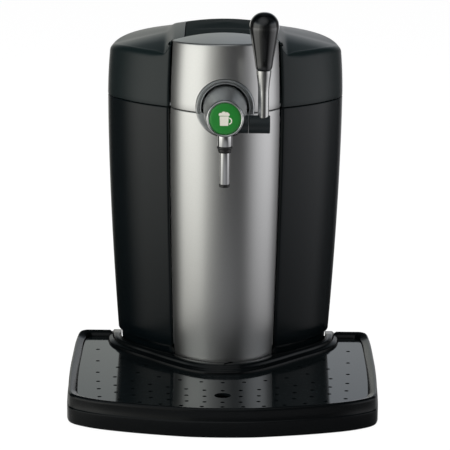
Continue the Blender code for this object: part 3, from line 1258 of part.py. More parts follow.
def make_latch(floor):
    half = LATCH_WIDTH / 2
    front, rear = LATCH_LEG_FRONT_Y, LATCH_LEG_FRONT_Y + LATCH_LEG_THICKNESS
    arm = LATCH_LEG_THICKNESS
    side = [(front, LATCH_TOP_Z), (front, LATCH_BOTTOM_Z + LATCH_NOSE_HEIGHT),
            (front - LATCH_NOSE, LATCH_BOTTOM_Z + LATCH_NOSE_HEIGHT), (front, LATCH_BOTTOM_Z),
            (rear, LATCH_BOTTOM_Z), (rear, LATCH_TOP_Z - arm), (LATCH_ARM_REAR_Y, LATCH_TOP_Z - arm),
            (LATCH_ARM_REAR_Y, LATCH_TOP_Z)]
    count = len(side)
    verts = [(LATCH_X - half, y, z) for y, z in side] + [(LATCH_X + half, y, z) for y, z in side]
    faces = [tuple(range(count)), tuple(range(count, 2 * count))]
    for i in range(count):
        j = (i + 1) % count
        faces.append((i, j, count + j, count + i))
    new_object("latch_hook", verts, faces, grey_plastic())
    block("latch_guide", (LATCH_X - half - GAP, rear + LATCH_TRAVEL + LATCH_WIDTH, floor + GAP),
          (LATCH_X + half + GAP, LATCH_ARM_REAR_Y - LATCH_WIDTH, LATCH_TOP_Z - arm - GAP), grey_plastic())


def make_carrier(floor):
    top = CARRIER_TOP_Z
    table = block("button_carrier", (-CARRIER_HALF_WIDTH, CARRIER_FRONT_Y, top - CARRIER_THICKNESS),
                  (CARRIER_HALF_WIDTH, CARRIER_REAR_Y, top), black_plastic())
    leg = CARRIER_LEG
    for side in (-1, 1):
        for end, y in enumerate((CARRIER_FRONT_Y, CARRIER_REAR_Y - leg)):
            x = side * (CARRIER_HALF_WIDTH - leg / 2)
            join(table, block("carrier_leg_%d_%d" % (side, end), (x - leg / 2, y, floor + GAP),
                              (x + leg / 2, y + leg, top - CARRIER_THICKNESS / 2), black_plastic()))
    middle_y = (CARRIER_FRONT_Y + CARRIER_REAR_Y) / 2
    bottom = top + GAP
    underside = lid_top_z(SPRING_RADIUS, middle_y) - BUTTON_THICKNESS
    height = underside - bottom - 2 * GAP
    rings, per_turn, sides = [], 10, 5
    steps = SPRING_TURNS * per_turn
    rise = height - 2 * SPRING_WIRE_RADIUS
    for i in range(steps + 1):
        angle = 2 * math.pi * i / per_turn
        centre = Vector((SPRING_RADIUS * math.cos(angle), middle_y + SPRING_RADIUS * math.sin(angle),
                         bottom + SPRING_WIRE_RADIUS + rise * i / steps))
        out = Vector((math.cos(angle), math.sin(angle), 0))
        up = Vector((0, 0, 1))
        rings.append([centre + SPRING_WIRE_RADIUS * (out * math.cos(a) + up * math.sin(a))
                      for a in (2 * math.pi * k / sides for k in range(sides))])
    verts = [p for ring in rings for p in ring]
    faces = [tuple(range(sides)), tuple(range(len(verts) - sides, len(verts)))]
    for i in range(len(rings) - 1):
        for k in range(sides):
            a, b = i * sides + k, i * sides + (k + 1) % sides
            faces.append((a, b, b + sides, a + sides))
    new_object("button_spring", verts, faces, satin_steel())


# Drip tray

def share_outline(shares, half_width, front, rear):
    right = [(x * half_width, front + (rear - front) * y) for x, y in shares]
    return right + mirrored(right)[:-1]


def tray_outline(margin):
    return share_outline(TRAY_OUTLINE_SHARES, TRAY_HALF_WIDTH - margin, TRAY_FRONT_Y + margin,
                         TRAY_REAR_Y - margin)


def collar_outline(step, rear):
    """Outer edge of the upstand that hugs the housing, drawn in by step."""
    points = share_outline(COLLAR_OUTLINE_SHARES, COLLAR_HALF_WIDTH - step, COLLAR_FRONT_Y + step, WIDEST_Y)
    half = COLLAR_HALF_WIDTH - step
    right = [p for p in points if p[0] >= 0 and p != points[-1]]
    right = sorted(set(right), key=lambda p: p[1]) + [(half, rear)]
    return right + mirrored(right)[:-1]


def notch_outline(clearance, rear):
    """The housing's front half at the plinth, grown by a clearance and run straight back."""
    right = [p for p in column_plan(COLUMN_HALF_WIDTH, 10) if p[0] >= 0]
    right += flank_plan(COLUMN_HALF_WIDTH + GROOVE, 8)
    whole = right + mirrored(right)[:-1]
    low = plan_at(whole, COLLAR_TOP_Z, -clearance)
    front = [p for p in low if p[1] < WIDEST_Y - clearance]
    half = max(x for x, _ in low)
    right = sorted([p for p in front if p[0] >= -GAP / 2], key=lambda p: (p[1], p[0]))
    right += [(half, WIDEST_Y), (half, rear)]
    return right + [(-x, y) for x, y in reversed(right[1:])]


def make_tray():
    tray = prism("drip_tray", tray_outline(0), 0, TRAY_HEIGHT, black_gloss())
    join(tray, prism("tray_collar_foot", collar_outline(0, TRAY_REAR_Y), TRAY_FLOOR, TRAY_HEIGHT,
                     black_gloss()))
    join(tray, prism("tray_collar", collar_outline(COLLAR_STEP, TRAY_REAR_Y), TRAY_FLOOR, COLLAR_TOP_Z,
                     black_gloss()))
    grid_bottom = GRID_TOP_Z - GRID_THICKNESS
    ledge_z = grid_bottom - GAP
    low = prism("cut_tray_basin_low", tray_outline(TRAY_RIM + TRAY_LEDGE), TRAY_FLOOR, TRAY_HEIGHT + OVERRUN,
                black_gloss())
    cut(low, prism("keep_collar_low", collar_outline(-TRAY_LEDGE, TRAY_REAR_Y + OVERRUN), TRAY_FLOOR - OVERRUN,
                   TRAY_HEIGHT + 2 * OVERRUN, black_gloss()))
    cut(tray, low)
    high = prism("cut_tray_basin_high", tray_outline(TRAY_RIM), ledge_z, TRAY_HEIGHT + OVERRUN, black_gloss())
    cut(high, prism("keep_collar_high", collar_outline(0, TRAY_REAR_Y + OVERRUN), TRAY_FLOOR,
                    TRAY_HEIGHT + 2 * OVERRUN, black_gloss()))
    cut(tray, high)
    cut(tray, prism("cut_tray_notch", notch_outline(NOTCH_CLEARANCE, TRAY_REAR_Y + OVERRUN), -OVERRUN,
                    COLLAR_TOP_Z + OVERRUN, black_gloss()))
    grid = prism("drip_grid", tray_outline(TRAY_RIM + RUNNING_GAP), grid_bottom, GRID_TOP_Z, black_gloss())
    cut(grid, prism("cut_grid_notch", collar_outline(-RUNNING_GAP, TRAY_REAR_Y + OVERRUN), TRAY_FLOOR,
                    TRAY_HEIGHT + OVERRUN, black_gloss()))
    cut(grid, merge_meshes("cut_drain_holes", drain_holes(grid_bottom)))


def drain_holes(grid_bottom):
    low, high = grid_bottom - OVERRUN, GRID_TOP_Z + OVERRUN
    holes = [rod("hole_finger", (0, FINGER_HOLE_Y, low), (0, FINGER_HOLE_Y, high), FINGER_HOLE_RADIUS,
                 black_gloss(), 20)]
    depth = DRAIN_LAST_ROW_Y - DRAIN_FIRST_ROW_Y
    last_row = len(DRAIN_ROW_COUNTS) - 1
    for row, (y_share, count, rise_share) in enumerate(
            zip(DRAIN_ROW_Y_SHARES, DRAIN_ROW_COUNTS, DRAIN_ROW_RISE_SHARES)):
        reach = DRAIN_ROW_REACH + (DRAIN_LAST_REACH - DRAIN_ROW_REACH) * row / last_row
        front = DRAIN_FIRST_ROW_Y + depth * y_share
        for i in range(-count, count + 1):
            if row == 0 and i == 0:
                continue
            x = reach * i / count
            y = front + DRAIN_ROW_RISE * rise_share * (x / DRAIN_ROW_REACH) ** 2
            if math.hypot(x, y - FINGER_HOLE_Y) < FINGER_HOLE_RADIUS + 2 * DRAIN_RADIUS:
                continue
            if inside_collar(x, y):
                continue
            holes.append(rod("hole_%d_%d" % (row, i), (x, y, low), (x, y, high), DRAIN_RADIUS,
                             black_gloss(), 6))
    return holes


def inside_collar(x, y):
    """True where a drain hole would run into the collar's foot."""
    outline = collar_outline(-2 * DRAIN_RADIUS, TRAY_REAR_Y + OVERRUN)
    inside = False
    for (x0, y0), (x1, y1) in zip(outline, outline[1:] + outline[:1]):
        if (y0 > y) != (y1 > y) and x < x0 + (x1 - x0) * (y - y0) / (y1 - y0):
            inside = not inside
    return inside


def main():
    for old in list(bpy.data.objects):
        bpy.data.objects.remove(old)
    make_side_covers()
    make_front_column()
    make_rear_cover()
    make_base()
    make_chamber()
    make_cooler()
    make_rear_fittings()
    make_hinges()
    make_tap_head()
    make_spout()
    make_lever()
    make_lid_shell()
    make_lid_panel()
    make_button()
    make_lid_inside()
    make_tray()


main()
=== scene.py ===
import math

import bpy
from mathutils import Matrix, Vector


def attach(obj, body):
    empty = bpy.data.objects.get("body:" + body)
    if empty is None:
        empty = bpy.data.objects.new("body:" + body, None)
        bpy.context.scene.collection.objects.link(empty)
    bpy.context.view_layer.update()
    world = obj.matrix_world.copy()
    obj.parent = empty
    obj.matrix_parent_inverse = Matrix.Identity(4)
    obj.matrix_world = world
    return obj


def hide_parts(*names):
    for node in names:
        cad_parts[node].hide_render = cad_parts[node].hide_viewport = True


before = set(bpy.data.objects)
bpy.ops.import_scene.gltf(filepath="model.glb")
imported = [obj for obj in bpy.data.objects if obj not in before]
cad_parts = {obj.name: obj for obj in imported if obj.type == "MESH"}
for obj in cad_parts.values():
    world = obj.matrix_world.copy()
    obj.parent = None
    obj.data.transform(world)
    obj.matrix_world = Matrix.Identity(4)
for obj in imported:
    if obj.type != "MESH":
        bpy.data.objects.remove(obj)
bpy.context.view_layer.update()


# Studio. A long lens looks slightly down on the tap, the pale floor runs on as the backdrop, and a
# soft box stands to the left, a narrow one to the right and a broad one above.
class Flow:
    """What a node gives out. A sign written on it adds a Math node."""

    def __init__(self, board, socket):
        self.board = board
        self.socket = socket

    def sign(self, operation, first, second):
        return self.board.node("ShaderNodeMath", {0: first, 1: second}, operation=operation)

    def __add__(self, other):
        return self.sign("ADD", self, other)

    def __radd__(self, other):
        return self.sign("ADD", other, self)

    def __sub__(self, other):
        return self.sign("SUBTRACT", self, other)

    def __rsub__(self, other):
        return self.sign("SUBTRACT", other, self)

    def __mul__(self, other):
        return self.sign("MULTIPLY", self, other)

    def __rmul__(self, other):
        return self.sign("MULTIPLY", other, self)

    def __truediv__(self, other):
        return self.sign("DIVIDE", self, other)


class Board:
    """The nodes of one material or of the world."""

    def __init__(self, owner):
        owner.use_nodes = True
        self.tree = owner.node_tree

    def node(self, kind, inputs=None, output=0, stops=None, **settings):
        made = self.tree.nodes.new(kind)
        for key, value in settings.items():
            setattr(made, key, value)
        if stops:
            marks = made.color_ramp.elements
            marks[0].position, marks[0].color = stops[0][0], (*stops[0][1], 1)
            marks[1].position, marks[1].color = stops[-1][0], (*stops[-1][1], 1)
            for place, shade in stops[1:-1]:
                marks.new(place).color = (*shade, 1)
        for key, value in (inputs or {}).items():
            self.feed(made.inputs[key], value)
        return Flow(self, made.outputs[output])

    def feed(self, socket, value):
        if isinstance(value, Flow):
            self.tree.links.new(value.socket, socket)
        else:
            socket.default_value = value


CAMERA_PLACE = (0.001, -2.827, 0.8583)
CAMERA_PITCH = math.radians(76.5)
CAMERA_ROLL = math.radians(0.5)
camera_data = bpy.data.cameras.new("camera")
camera_data.lens = 201.6
camera_data.sensor_width = 36
camera = bpy.data.objects.new("camera", camera_data)
bpy.context.scene.collection.objects.link(camera)
camera.matrix_world = (Matrix.Translation(CAMERA_PLACE) @ Matrix.Rotation(CAMERA_PITCH, 4, "X")
                       @ Matrix.Rotation(CAMERA_ROLL, 4, "Z"))
bpy.context.scene.camera = camera
bpy.context.scene.view_settings.view_transform = "Standard"
# Brightness of the boxes and the dark room between them, by bearing in degrees from straight ahead.
ROOM_LIGHT = [(-180, 0.72), (-160, 0.6), (-135, 0.03), (-101, 0.04), (-92, 0.6), (-84, 1.08),
              (-44, 1.12), (-32, 0.52), (-8, 0.12), (6, 0.05), (36, 0.05), (48, 0.3), (62, 0.62),
              (80, 0.74), (97, 0.78), (109, 0.2), (132, 0.03), (160, 0.6), (180, 0.72)]
LEFT_BLUE, RIGHT_BLUE = 0.95, 1.03


def bearing_ramp(board, x, y):
    """The room as seen round the object: 0.5 is straight ahead of the tap, and 1 is behind it."""
    turn = board.node("ShaderNodeMath", {0: x, 1: 0 - y}, operation="ARCTAN2") / 360 * math.degrees(1) + 0.5
    stops = []
    for degrees, light in ROOM_LIGHT:
        blue = LEFT_BLUE if degrees < 0 else RIGHT_BLUE
        stops.append((0.5 + degrees / 360, (light, light, light * blue)))
    return board.node("ShaderNodeValToRGB", {0: turn}, stops=stops)


def pick(board, factor, first, second):
    return board.node("ShaderNodeMix", {0: factor, 6: first, 7: second}, output=2, data_type="RGBA")


sky = bpy.data.worlds.new("studio")
bpy.context.scene.world = sky
board = Board(sky)
rays = board.node("ShaderNodeLightPath").socket.node.outputs
seen = board.node("ShaderNodeMath", {0: Flow(board, rays["Is Camera Ray"]),
                                     1: Flow(board, rays["Is Transmission Ray"])}, operation="MAXIMUM")
towards = board.node("ShaderNodeSeparateXYZ", {0: board.node("ShaderNodeTexCoord")}).socket.node.outputs
room = bearing_ramp(board, Flow(board, towards["X"]), Flow(board, towards["Y"]))
fading = board.node("ShaderNodeValToRGB", {0: Flow(board, towards["Z"])}, stops=[
    (0, (1, 1, 1)), (0.25, (0.96, 1, 1)), (0.33, (0.5, 0.55, 0.6)), (0.45, (0.2, 0.23, 0.25)),
    (0.6, (0.05, 0.06, 0.065)), (1, (0.05, 0.06, 0.065))])
room = board.node("ShaderNodeMix", {0: 1.0, 6: room, 7: fading}, output=2, data_type="RGBA",
                  blend_type="MULTIPLY")
TO_TOP_BOX = (-0.18, -0.62, 0.76)
overhead = board.node("ShaderNodeVectorMath", {0: board.node("ShaderNodeTexCoord"), 1: TO_TOP_BOX},
                      output=1, operation="DOT_PRODUCT")
panel_light = board.node("ShaderNodeMapRange", {0: overhead, 1: 0.72, 2: 0.98, 3: 0.0, 4: 0.42})
room = pick(board, panel_light, room, (0.95, 0.98, 1, 1))
glossy = pick(board, Flow(board, rays["Is Glossy Ray"]), (0.42, 0.42, 0.43, 1), room)
board.feed(board.tree.nodes["Background"].inputs["Color"], pick(board, seen, glossy, (1, 1, 1, 1)))


def soft_box(name, place, size, power, aim):
    lamp = bpy.data.lights.new(name, "AREA")
    lamp.shape = "RECTANGLE"
    lamp.size, lamp.size_y = size
    lamp.energy = power
    holder = bpy.data.objects.new(name, lamp)
    bpy.context.scene.collection.objects.link(holder)
    direction = Vector(aim) - Vector(place)
    holder.matrix_world = Matrix.Translation(place) @ direction.to_track_quat("-Z", "Y").to_matrix().to_4x4()
    holder.visible_glossy = False


soft_box("left_box", (-1.7, -1.3, 1.0), (0.8, 1.5), 26, (0, 0, 0.2))
soft_box("right_box", (1.7, -0.2, 0.8), (0.3, 1.3), 8, (0, 0, 0.2))
soft_box("top_box", (0, 0.3, 2.2), (1.8, 1.4), 26, (0, 0.05, 0.2))

bpy.ops.mesh.primitive_plane_add(size=14, location=(0, 0, -0.0004))
floor = bpy.context.object
floor.name = "floor"
paper = bpy.data.materials.new("floor_paper")
board = Board(paper)
rays = board.node("ShaderNodeLightPath").socket.node.outputs
paint = board.tree.nodes["Principled BSDF"]
paint.inputs["Base Color"].default_value = (0.86, 0.86, 0.86, 1)
paint.inputs["Roughness"].default_value = 0.8
paint.inputs["Specular IOR Level"].default_value = 0.1
# Seen in reflections, the floor glows with painted light, not lamp light: a painted reflection of the soft
# boxes by bearing, a
# painted pale patch ahead of the tap, and painted shade that makes it darker near the object and brighter
# far off.
where = board.node("ShaderNodeTexCoord", output=3)
spot = board.node("ShaderNodeSeparateXYZ", {0: where}).socket.node.outputs
far = board.node("ShaderNodeVectorMath", {0: where}, output=1, operation="LENGTH")
painted_near_shade = board.node("ShaderNodeMapRange", {0: far, 1: 0.2, 2: 1.8, 3: 0.34, 4: 1.55})
ahead = board.node("ShaderNodeVectorMath", {0: where, 1: (0, -0.45, 0)}, output=1, operation="DISTANCE")
painted_front_glow = board.node("ShaderNodeMapRange", {0: ahead, 1: 0.08, 2: 0.5, 3: 0.8, 4: 0.0})
boxes = bearing_ramp(board, Flow(board, spot["X"]), Flow(board, spot["Y"]))
painted_room_reflection = board.node("ShaderNodeEmission", {
    "Color": pick(board, painted_front_glow, boxes, (0.55, 0.56, 0.58, 1)), "Strength": painted_near_shade})
glow = board.node("ShaderNodeEmission", {"Color": (1, 1, 1, 1), "Strength": 1.08})
lit = board.node("ShaderNodeMixShader", {0: Flow(board, rays["Is Camera Ray"]) * 0.86,
                                         1: Flow(board, paint.outputs[0]), 2: glow})
mixed = board.node("ShaderNodeMixShader", {0: Flow(board, rays["Is Glossy Ray"]), 1: lit, 2: painted_room_reflection})
board.feed(board.tree.nodes["Material Output"].inputs["Surface"], mixed)
floor.data.materials.append(paper)


# Side covers. Two moulded walls of charcoal plastic follow the keg from the silver column to the rear.
# Their front edges roll into the groove beside the column, and the plinth is set back.
BODY_HALF_WIDTH = 135.5
WIDEST_Y = 42
FLANK_REACH = 102.3
FLANK_POWER = 1.6
REAR_REACH = 186
REAR_POWER = 2.15
FOOT_Z = 49
FOOT_TAPER = 11.8
SEAM_Z = 325
TOP_Z = 378
TOP_TAPER = 2.5
GAP = 0.3
GROOVE_X = 62.3
GROOVE_RADIUS = 3.0
COVER_WALL = 2.2
REAR_COVER_HALF_WIDTH = 72.9
CORNER_RADIUS = 0.8


def flank_y(x):
    return WIDEST_Y - FLANK_REACH * (1 - (x / BODY_HALF_WIDTH) ** FLANK_POWER) ** (1 / FLANK_POWER)


def rear_y(x):
    return WIDEST_Y + REAR_REACH * (1 - (x / BODY_HALF_WIDTH) ** REAR_POWER) ** (1 / REAR_POWER)


def width_scale(z):
    """The housing narrows towards its foot, and a little towards its top."""
    if z < SEAM_Z:
        return 1 - FOOT_TAPER / BODY_HALF_WIDTH * ((SEAM_Z - z) / (SEAM_Z - FOOT_Z)) ** 1.7
    return 1 - TOP_TAPER / BODY_HALF_WIDTH * ((z - SEAM_Z) / (TOP_Z - SEAM_Z)) ** 2


def flank_plan(start_x, steps):
    start = math.asin((start_x / BODY_HALF_WIDTH) ** (FLANK_POWER / 2))
    angles = [start + (math.pi / 2 - start) * i / steps for i in range(steps + 1)]
    power = 2 / FLANK_POWER
    return [(BODY_HALF_WIDTH * math.sin(a) ** power, WIDEST_Y - FLANK_REACH * max(math.cos(a), 0) ** power)
            for a in angles]


def rear_plan(end_x, steps):
    end = math.acos((end_x / BODY_HALF_WIDTH) ** (REAR_POWER / 2))
    angles = [end * i / steps for i in range(steps + 1)]
    power = 2 / REAR_POWER
    return [(BODY_HALF_WIDTH * math.cos(a) ** power, WIDEST_Y + REAR_REACH * math.sin(a) ** power)
            for a in angles]


def mirrored(points):
    return [(-x, y) for x, y in reversed(points)]


def curl(points, radius, turn, tail=0.0, steps=6):
    """Carry the end of a counter-clockwise plan on round an arc, inwards, then straight on."""
    (x0, y0), (x1, y1) = points[-2], points[-1]
    heading = math.atan2(y1 - y0, x1 - x0)
    cx, cy = x1 - radius * math.sin(heading), y1 + radius * math.cos(heading)
    added = []
    for i in range(1, steps + 1):
        angle = heading + math.radians(turn) * i / steps
        added.append((cx + radius * math.sin(angle), cy - radius * math.cos(angle)))
    if tail:
        angle = heading + math.radians(turn)
        x, y = added[-1]
        added.append((x + tail * math.cos(angle), y + tail * math.sin(angle)))
    return points + added


def groove_start(radius):
    """Flank point from which an arc of this radius turns back exactly at the groove."""
    low, high = GROOVE_X, GROOVE_X + 2 * radius
    for _ in range(40):
        x = (low + high) / 2
        slope = math.atan2(flank_y(x + 0.01) - flank_y(x), 0.01)
        if x - radius * math.sin(slope) - radius < GROOVE_X:
            low = x
        else:
            high = x
    slope = math.atan2(flank_y(low + 0.01) - flank_y(low), 0.01)
    return low, 90 + math.degrees(slope)


def inset_each(points, distances):
    """Move each point of a counter-clockwise plan inwards along its normal, by its own distance."""
    moved = []
    for i, (x, y) in enumerate(points):
        x0, y0 = points[max(i - 1, 0)]
        x1, y1 = points[min(i + 1, len(points) - 1)]
        length = math.hypot(x1 - x0, y1 - y0)
        moved.append((x - (y1 - y0) / length * distances[i], y + (x1 - x0) / length * distances[i]))
    return moved


def inset(points, distance):
    return inset_each(points, [distance] * len(points)) if distance else list(points)


def plan_at(points, z, distance=0.0):
    scale = width_scale(z)
    return inset([(x * scale, y) for x, y in points], distance)


def lay_sheet(name, rows, middle):
    """Lay a grid over rows of points, in millimetres, with its front turned away from middle."""
    columns = len(rows[0])
    bpy.ops.mesh.primitive_grid_add(x_subdivisions=columns - 1, y_subdivisions=len(rows) - 1, size=1)
    sheet = bpy.context.object
    sheet.name = name
    sheet.data.name = name
    for vert in sheet.data.vertices:
        column = round((vert.co.x + 0.5) * (columns - 1))
        row = round((vert.co.y + 0.5) * (len(rows) - 1))
        vert.co = Vector(rows[row][column]) / 1000
    centre = Vector(middle) / 1000
    facing = sum((face.center - centre).normalized().dot(face.normal) * face.area
                 for face in sheet.data.polygons)
    bpy.ops.object.mode_set(mode="EDIT")
    bpy.ops.mesh.select_all(action="SELECT")
    bpy.ops.mesh.remove_doubles(threshold=0.000002)
    if facing < 0:
        bpy.ops.mesh.flip_normals()
    bpy.ops.object.mode_set(mode="OBJECT")
    return sheet


def choose(active, *others):
    """Select these pieces and no others."""
    bpy.ops.object.select_all(action="DESELECT")
    for piece in (active, *others):
        piece.select_set(True)
    bpy.context.view_layer.objects.active = active


def apply_modifier(piece, kind, **settings):
    modifier = piece.modifiers.new(kind.lower(), kind)
    for key, value in settings.items():
        setattr(modifier, key, value)
    choose(piece)
    bpy.ops.object.modifier_apply(modifier=modifier.name)


def give_wall(piece, thickness):
    apply_modifier(piece, "SOLIDIFY", thickness=thickness / 1000, offset=-1, use_rim=True)


def smooth(piece, angle=35):
    choose(piece)
    bpy.ops.object.shade_smooth_by_angle(angle=math.radians(angle))


def cut_away(piece, tool):
    apply_modifier(piece, "BOOLEAN", operation="DIFFERENCE", object=tool, solver="EXACT")
    bpy.data.objects.remove(tool)


def shades(colour, low, high):
    """The darker and the lighter shade between which a colour wanders."""
    return tuple(c * low for c in colour) + (1,), tuple(min(c * high, 1) for c in colour) + (1,)


def moulded_plastic(name, colour, roughness, grain=0.25, coat=0.0, haze=0.06, shine=0.5):
    """Moulded plastic: a fine spark-eroded grain, and a slow change of sheen over the surface."""
    made = bpy.data.materials.new(name)
    board = Board(made)
    shader = board.tree.nodes["Principled BSDF"]
    where = board.node("ShaderNodeTexCoord", output=3)
    fine = board.node("ShaderNodeTexNoise", {"Vector": where, "Scale": 1500, "Detail": 3, "Roughness": 0.6})
    broad = board.node("ShaderNodeTexNoise", {"Vector": where, "Scale": 14, "Detail": 4, "Roughness": 0.55})
    dark, light = shades(colour, 0.9, 1.12)
    board.feed(shader.inputs["Base Color"], pick(board, broad * 0.6 + fine * 0.4, dark, light))
    board.feed(shader.inputs["Roughness"], (broad - 0.5) * haze + (fine - 0.5) * haze + roughness)
    board.feed(shader.inputs["Normal"], board.node(
        "ShaderNodeBump", {"Height": fine, "Strength": grain, "Distance": 0.00012}))
    shader.inputs["Specular IOR Level"].default_value = shine
    shader.inputs["Coat Weight"].default_value = coat
    shader.inputs["Coat Roughness"].default_value = 0.05
    made.diffuse_color = (*colour, 1)
    return made


def dress(piece, material, slot, body, *nodes):
    """Give a finished piece its material and its body, and hide the CAD nodes that it stands for."""
    piece.data.materials.clear()
    piece.data.materials.append(material)
    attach(piece, body)
    if nodes:
        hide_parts(*nodes)


# How a sheet's edge turns in: the distance from the edge, and how far it stands back there.
EDGE_TURN = [(0, 0.9), (0.12, 0.45), (0.45, 0.12), (0.9, 0)]
charcoal = moulded_plastic("charcoal_plastic", (0.0018, 0.0036, 0.0044), 0.22, shine=0.3)
start_x, groove_turn = groove_start(GROOVE_RADIUS)
flank = mirrored(curl(mirrored(flank_plan(start_x, 30)), GROOVE_RADIUS, groove_turn, 8, 8))
side_plan = curl(flank + rear_plan(REAR_COVER_HALF_WIDTH + CORNER_RADIUS, 34)[1:], CORNER_RADIUS, 90)
# Heights of the wall's rows, each with how far it stands back. The plinth ends in a soft step.
wall_levels = [(6, 3.5), (24, 3.5), (41.5, 3.5), (42.5, 3.3), (45.6, 0.4), (46.6, 0), (60, 0)]
wall_levels += [(60 + 262 * i / 26, 0) for i in range(1, 27)]
wall_levels += [(SEAM_Z - GAP - drop, back) for drop, back in reversed(EDGE_TURN)]
for side, label in ((1, "right"), (-1, "left")):
    rows = [[(side * x, y, z) for x, y in plan_at(side_plan, z, back)] for z, back in wall_levels]
    cover = lay_sheet(label + "_side_cover_skin", rows, (0, WIDEST_Y, 180))
    give_wall(cover, COVER_WALL)
    smooth(cover)
    dress(cover, charcoal, "charcoal_plastic", "root", label + "_side_cover")


# Rear cover. The same charcoal moulding closes the back, with slots for the fan's air, and holes for
# the switch and the cord's gland.
REAR_CURL_X = 71.2
rear_half = [(REAR_CURL_X, rear_y(REAR_CURL_X))] + [p for p in rear_plan(0, 90) if p[0] < REAR_CURL_X]
rear_curled = mirrored(curl(mirrored(rear_half), CORNER_RADIUS, 90))
rear_outline = rear_curled + mirrored(rear_curled)[1:]
rows = [[(x, y, z) for x, y in plan_at(rear_outline, z, back)] for z, back in wall_levels]
cover = lay_sheet("rear_cover_skin", rows, (0, WIDEST_Y, 180))
give_wall(cover, COVER_WALL)


def box_tool(place, size):
    bpy.ops.mesh.primitive_cube_add(size=1, location=Vector(place) / 1000, scale=Vector(size) / 1000)
    bpy.ops.object.transform_apply(location=True, rotation=False, scale=True)
    return bpy.context.object


BACK_Y = 222
VENT_WIDTH = 84
VENT_HEIGHT = 4
VENT_CORNER_RADIUS = 1.8
VENT_PITCH = 9
HIGH_VENT_Z = 134
LOW_VENT_Z = 80
SWITCH_X = 42
SWITCH_Z = 52
GLAND_X = -46
GLAND_Z = 50
GLAND_RADIUS = 6.8
for z in [HIGH_VENT_Z + VENT_PITCH * i for i in range(9)] + [LOW_VENT_Z + VENT_PITCH * i for i in range(3)]:
    vent_tool = box_tool((0, BACK_Y, z), (VENT_WIDTH, 30, VENT_HEIGHT))
    bpy.ops.object.mode_set(mode="EDIT")
    bpy.ops.mesh.select_all(action="SELECT")
    bpy.ops.mesh.bevel(offset=VENT_CORNER_RADIUS / 1000, segments=4, affect="EDGES")
    bpy.ops.object.mode_set(mode="OBJECT")
    cut_away(cover, vent_tool)
cut_away(cover, box_tool((SWITCH_X, BACK_Y, SWITCH_Z), (14.6, 40, 22.6)))
bpy.ops.mesh.primitive_cylinder_add(vertices=48, radius=GLAND_RADIUS / 1000, depth=0.05,
                                    location=(GLAND_X / 1000, BACK_Y / 1000, GLAND_Z / 1000),
                                    rotation=(math.pi / 2, 0, 0))
bpy.ops.object.transform_apply(location=True, rotation=True, scale=True)
cut_away(cover, bpy.context.object)
smooth(cover)
dress(cover, charcoal, "charcoal_plastic", "root", "rear_cover")


# Front column. A bowed sheet with a satin silver lacquer runs from the foot to the seam, with a round
# opening for the tap. Its side edges turn back into the grooves.
COLUMN_HALF_WIDTH = 61.5
COLUMN_RADIUS = 69.6
COLUMN_CENTRE_Y = -8.4
COLUMN_WALL = 2
COLUMN_FRONT_Y = COLUMN_CENTRE_Y - COLUMN_RADIUS


def column_plan(half_width, steps):
    reach = math.asin(half_width / COLUMN_RADIUS)
    angles = [reach * (2 * i / steps - 1) for i in range(steps + 1)]
    return [(COLUMN_RADIUS * math.sin(a), COLUMN_CENTRE_Y - COLUMN_RADIUS * math.cos(a)) for a in angles]


def curled_column(half_width, steps, radius=1.6, tail=5.0):
    bowed = half_width - 0.25
    right = [p for p in column_plan(bowed, steps) if p[0] > -0.001]
    turn = 90 - math.degrees(math.asin(bowed / COLUMN_RADIUS))
    right = curl(right, radius, turn, tail, 4)
    return mirrored(right)[:-1] + right


def silver_paint(name, colour, roughness):
    """Metallic lacquer: fine flakes that glint a little apart, over a soft, slightly uneven gloss."""
    made = bpy.data.materials.new(name)
    board = Board(made)
    shader = board.tree.nodes["Principled BSDF"]
    where = board.node("ShaderNodeTexCoord", output=3)
    flakes = board.node("ShaderNodeTexVoronoi", {"Vector": where, "Scale": 2600}, output=1)
    flake = board.node("ShaderNodeSeparateColor", {0: flakes})
    cloud = board.node("ShaderNodeTexNoise", {"Vector": where, "Scale": 9, "Detail": 3})
    dark, light = shades(colour, 0.93, 1.05)
    board.feed(shader.inputs["Base Color"], pick(board, flake * 0.7 + cloud * 0.3, dark, light))
    board.feed(shader.inputs["Roughness"], flake * 0.05 + cloud * 0.04 + (roughness - 0.045))
    board.feed(shader.inputs["Normal"], board.node(
        "ShaderNodeBump", {"Height": flake, "Strength": 0.06, "Distance": 0.0001}))
    shader.inputs["Metallic"].default_value = 1.0
    shader.inputs["Coat Weight"].default_value = 0.12
    shader.inputs["Coat Roughness"].default_value = 0.2
    made.diffuse_color = (*colour, 1)
    return made


silver = silver_paint("silver_lacquer", (0.63, 0.63, 0.62), 0.33)
TAP_Z = 331.5
RING_RADIUS = 32.7


def turn_profile(name, profile, origin, axis, sides=96, angle=2 * math.pi):
    """Spin a closed profile of (radius, distance along the axis) pairs, in millimetres."""
    bpy.ops.mesh.primitive_circle_add(vertices=len(profile), radius=1)
    turned = bpy.context.object
    turned.name = name
    turned.data.name = name
    along = Vector(axis).normalized()
    side = Vector((0, 0, 1)) if abs(along.z) < 0.9 else Vector((1, 0, 0))
    base = Vector(origin)
    for vert, (radius, distance) in zip(turned.data.vertices, profile):
        vert.co = (base + side * radius + along * distance) / 1000
    bpy.ops.object.mode_set(mode="EDIT")
    bpy.ops.mesh.select_all(action="SELECT")
    bpy.ops.mesh.spin(steps=sides, angle=angle, center=base / 1000, axis=along)
    bpy.ops.mesh.select_all(action="SELECT")
    bpy.ops.mesh.remove_doubles(threshold=0.000003)
    bpy.ops.mesh.delete_loose(use_verts=True, use_edges=True, use_faces=False)
    bpy.ops.mesh.select_all(action="SELECT")
    bpy.ops.mesh.normals_make_consistent(inside=False)
    bpy.ops.object.mode_set(mode="OBJECT")
    return turned


def rod_tool(start, end, radius, sides=96):
    length = (Vector(end) - Vector(start)).length
    axis = (Vector(end) - Vector(start)).normalized()
    return turn_profile("tool", [(0, 0), (radius, 0), (radius, length), (0, length)], start, axis, sides)


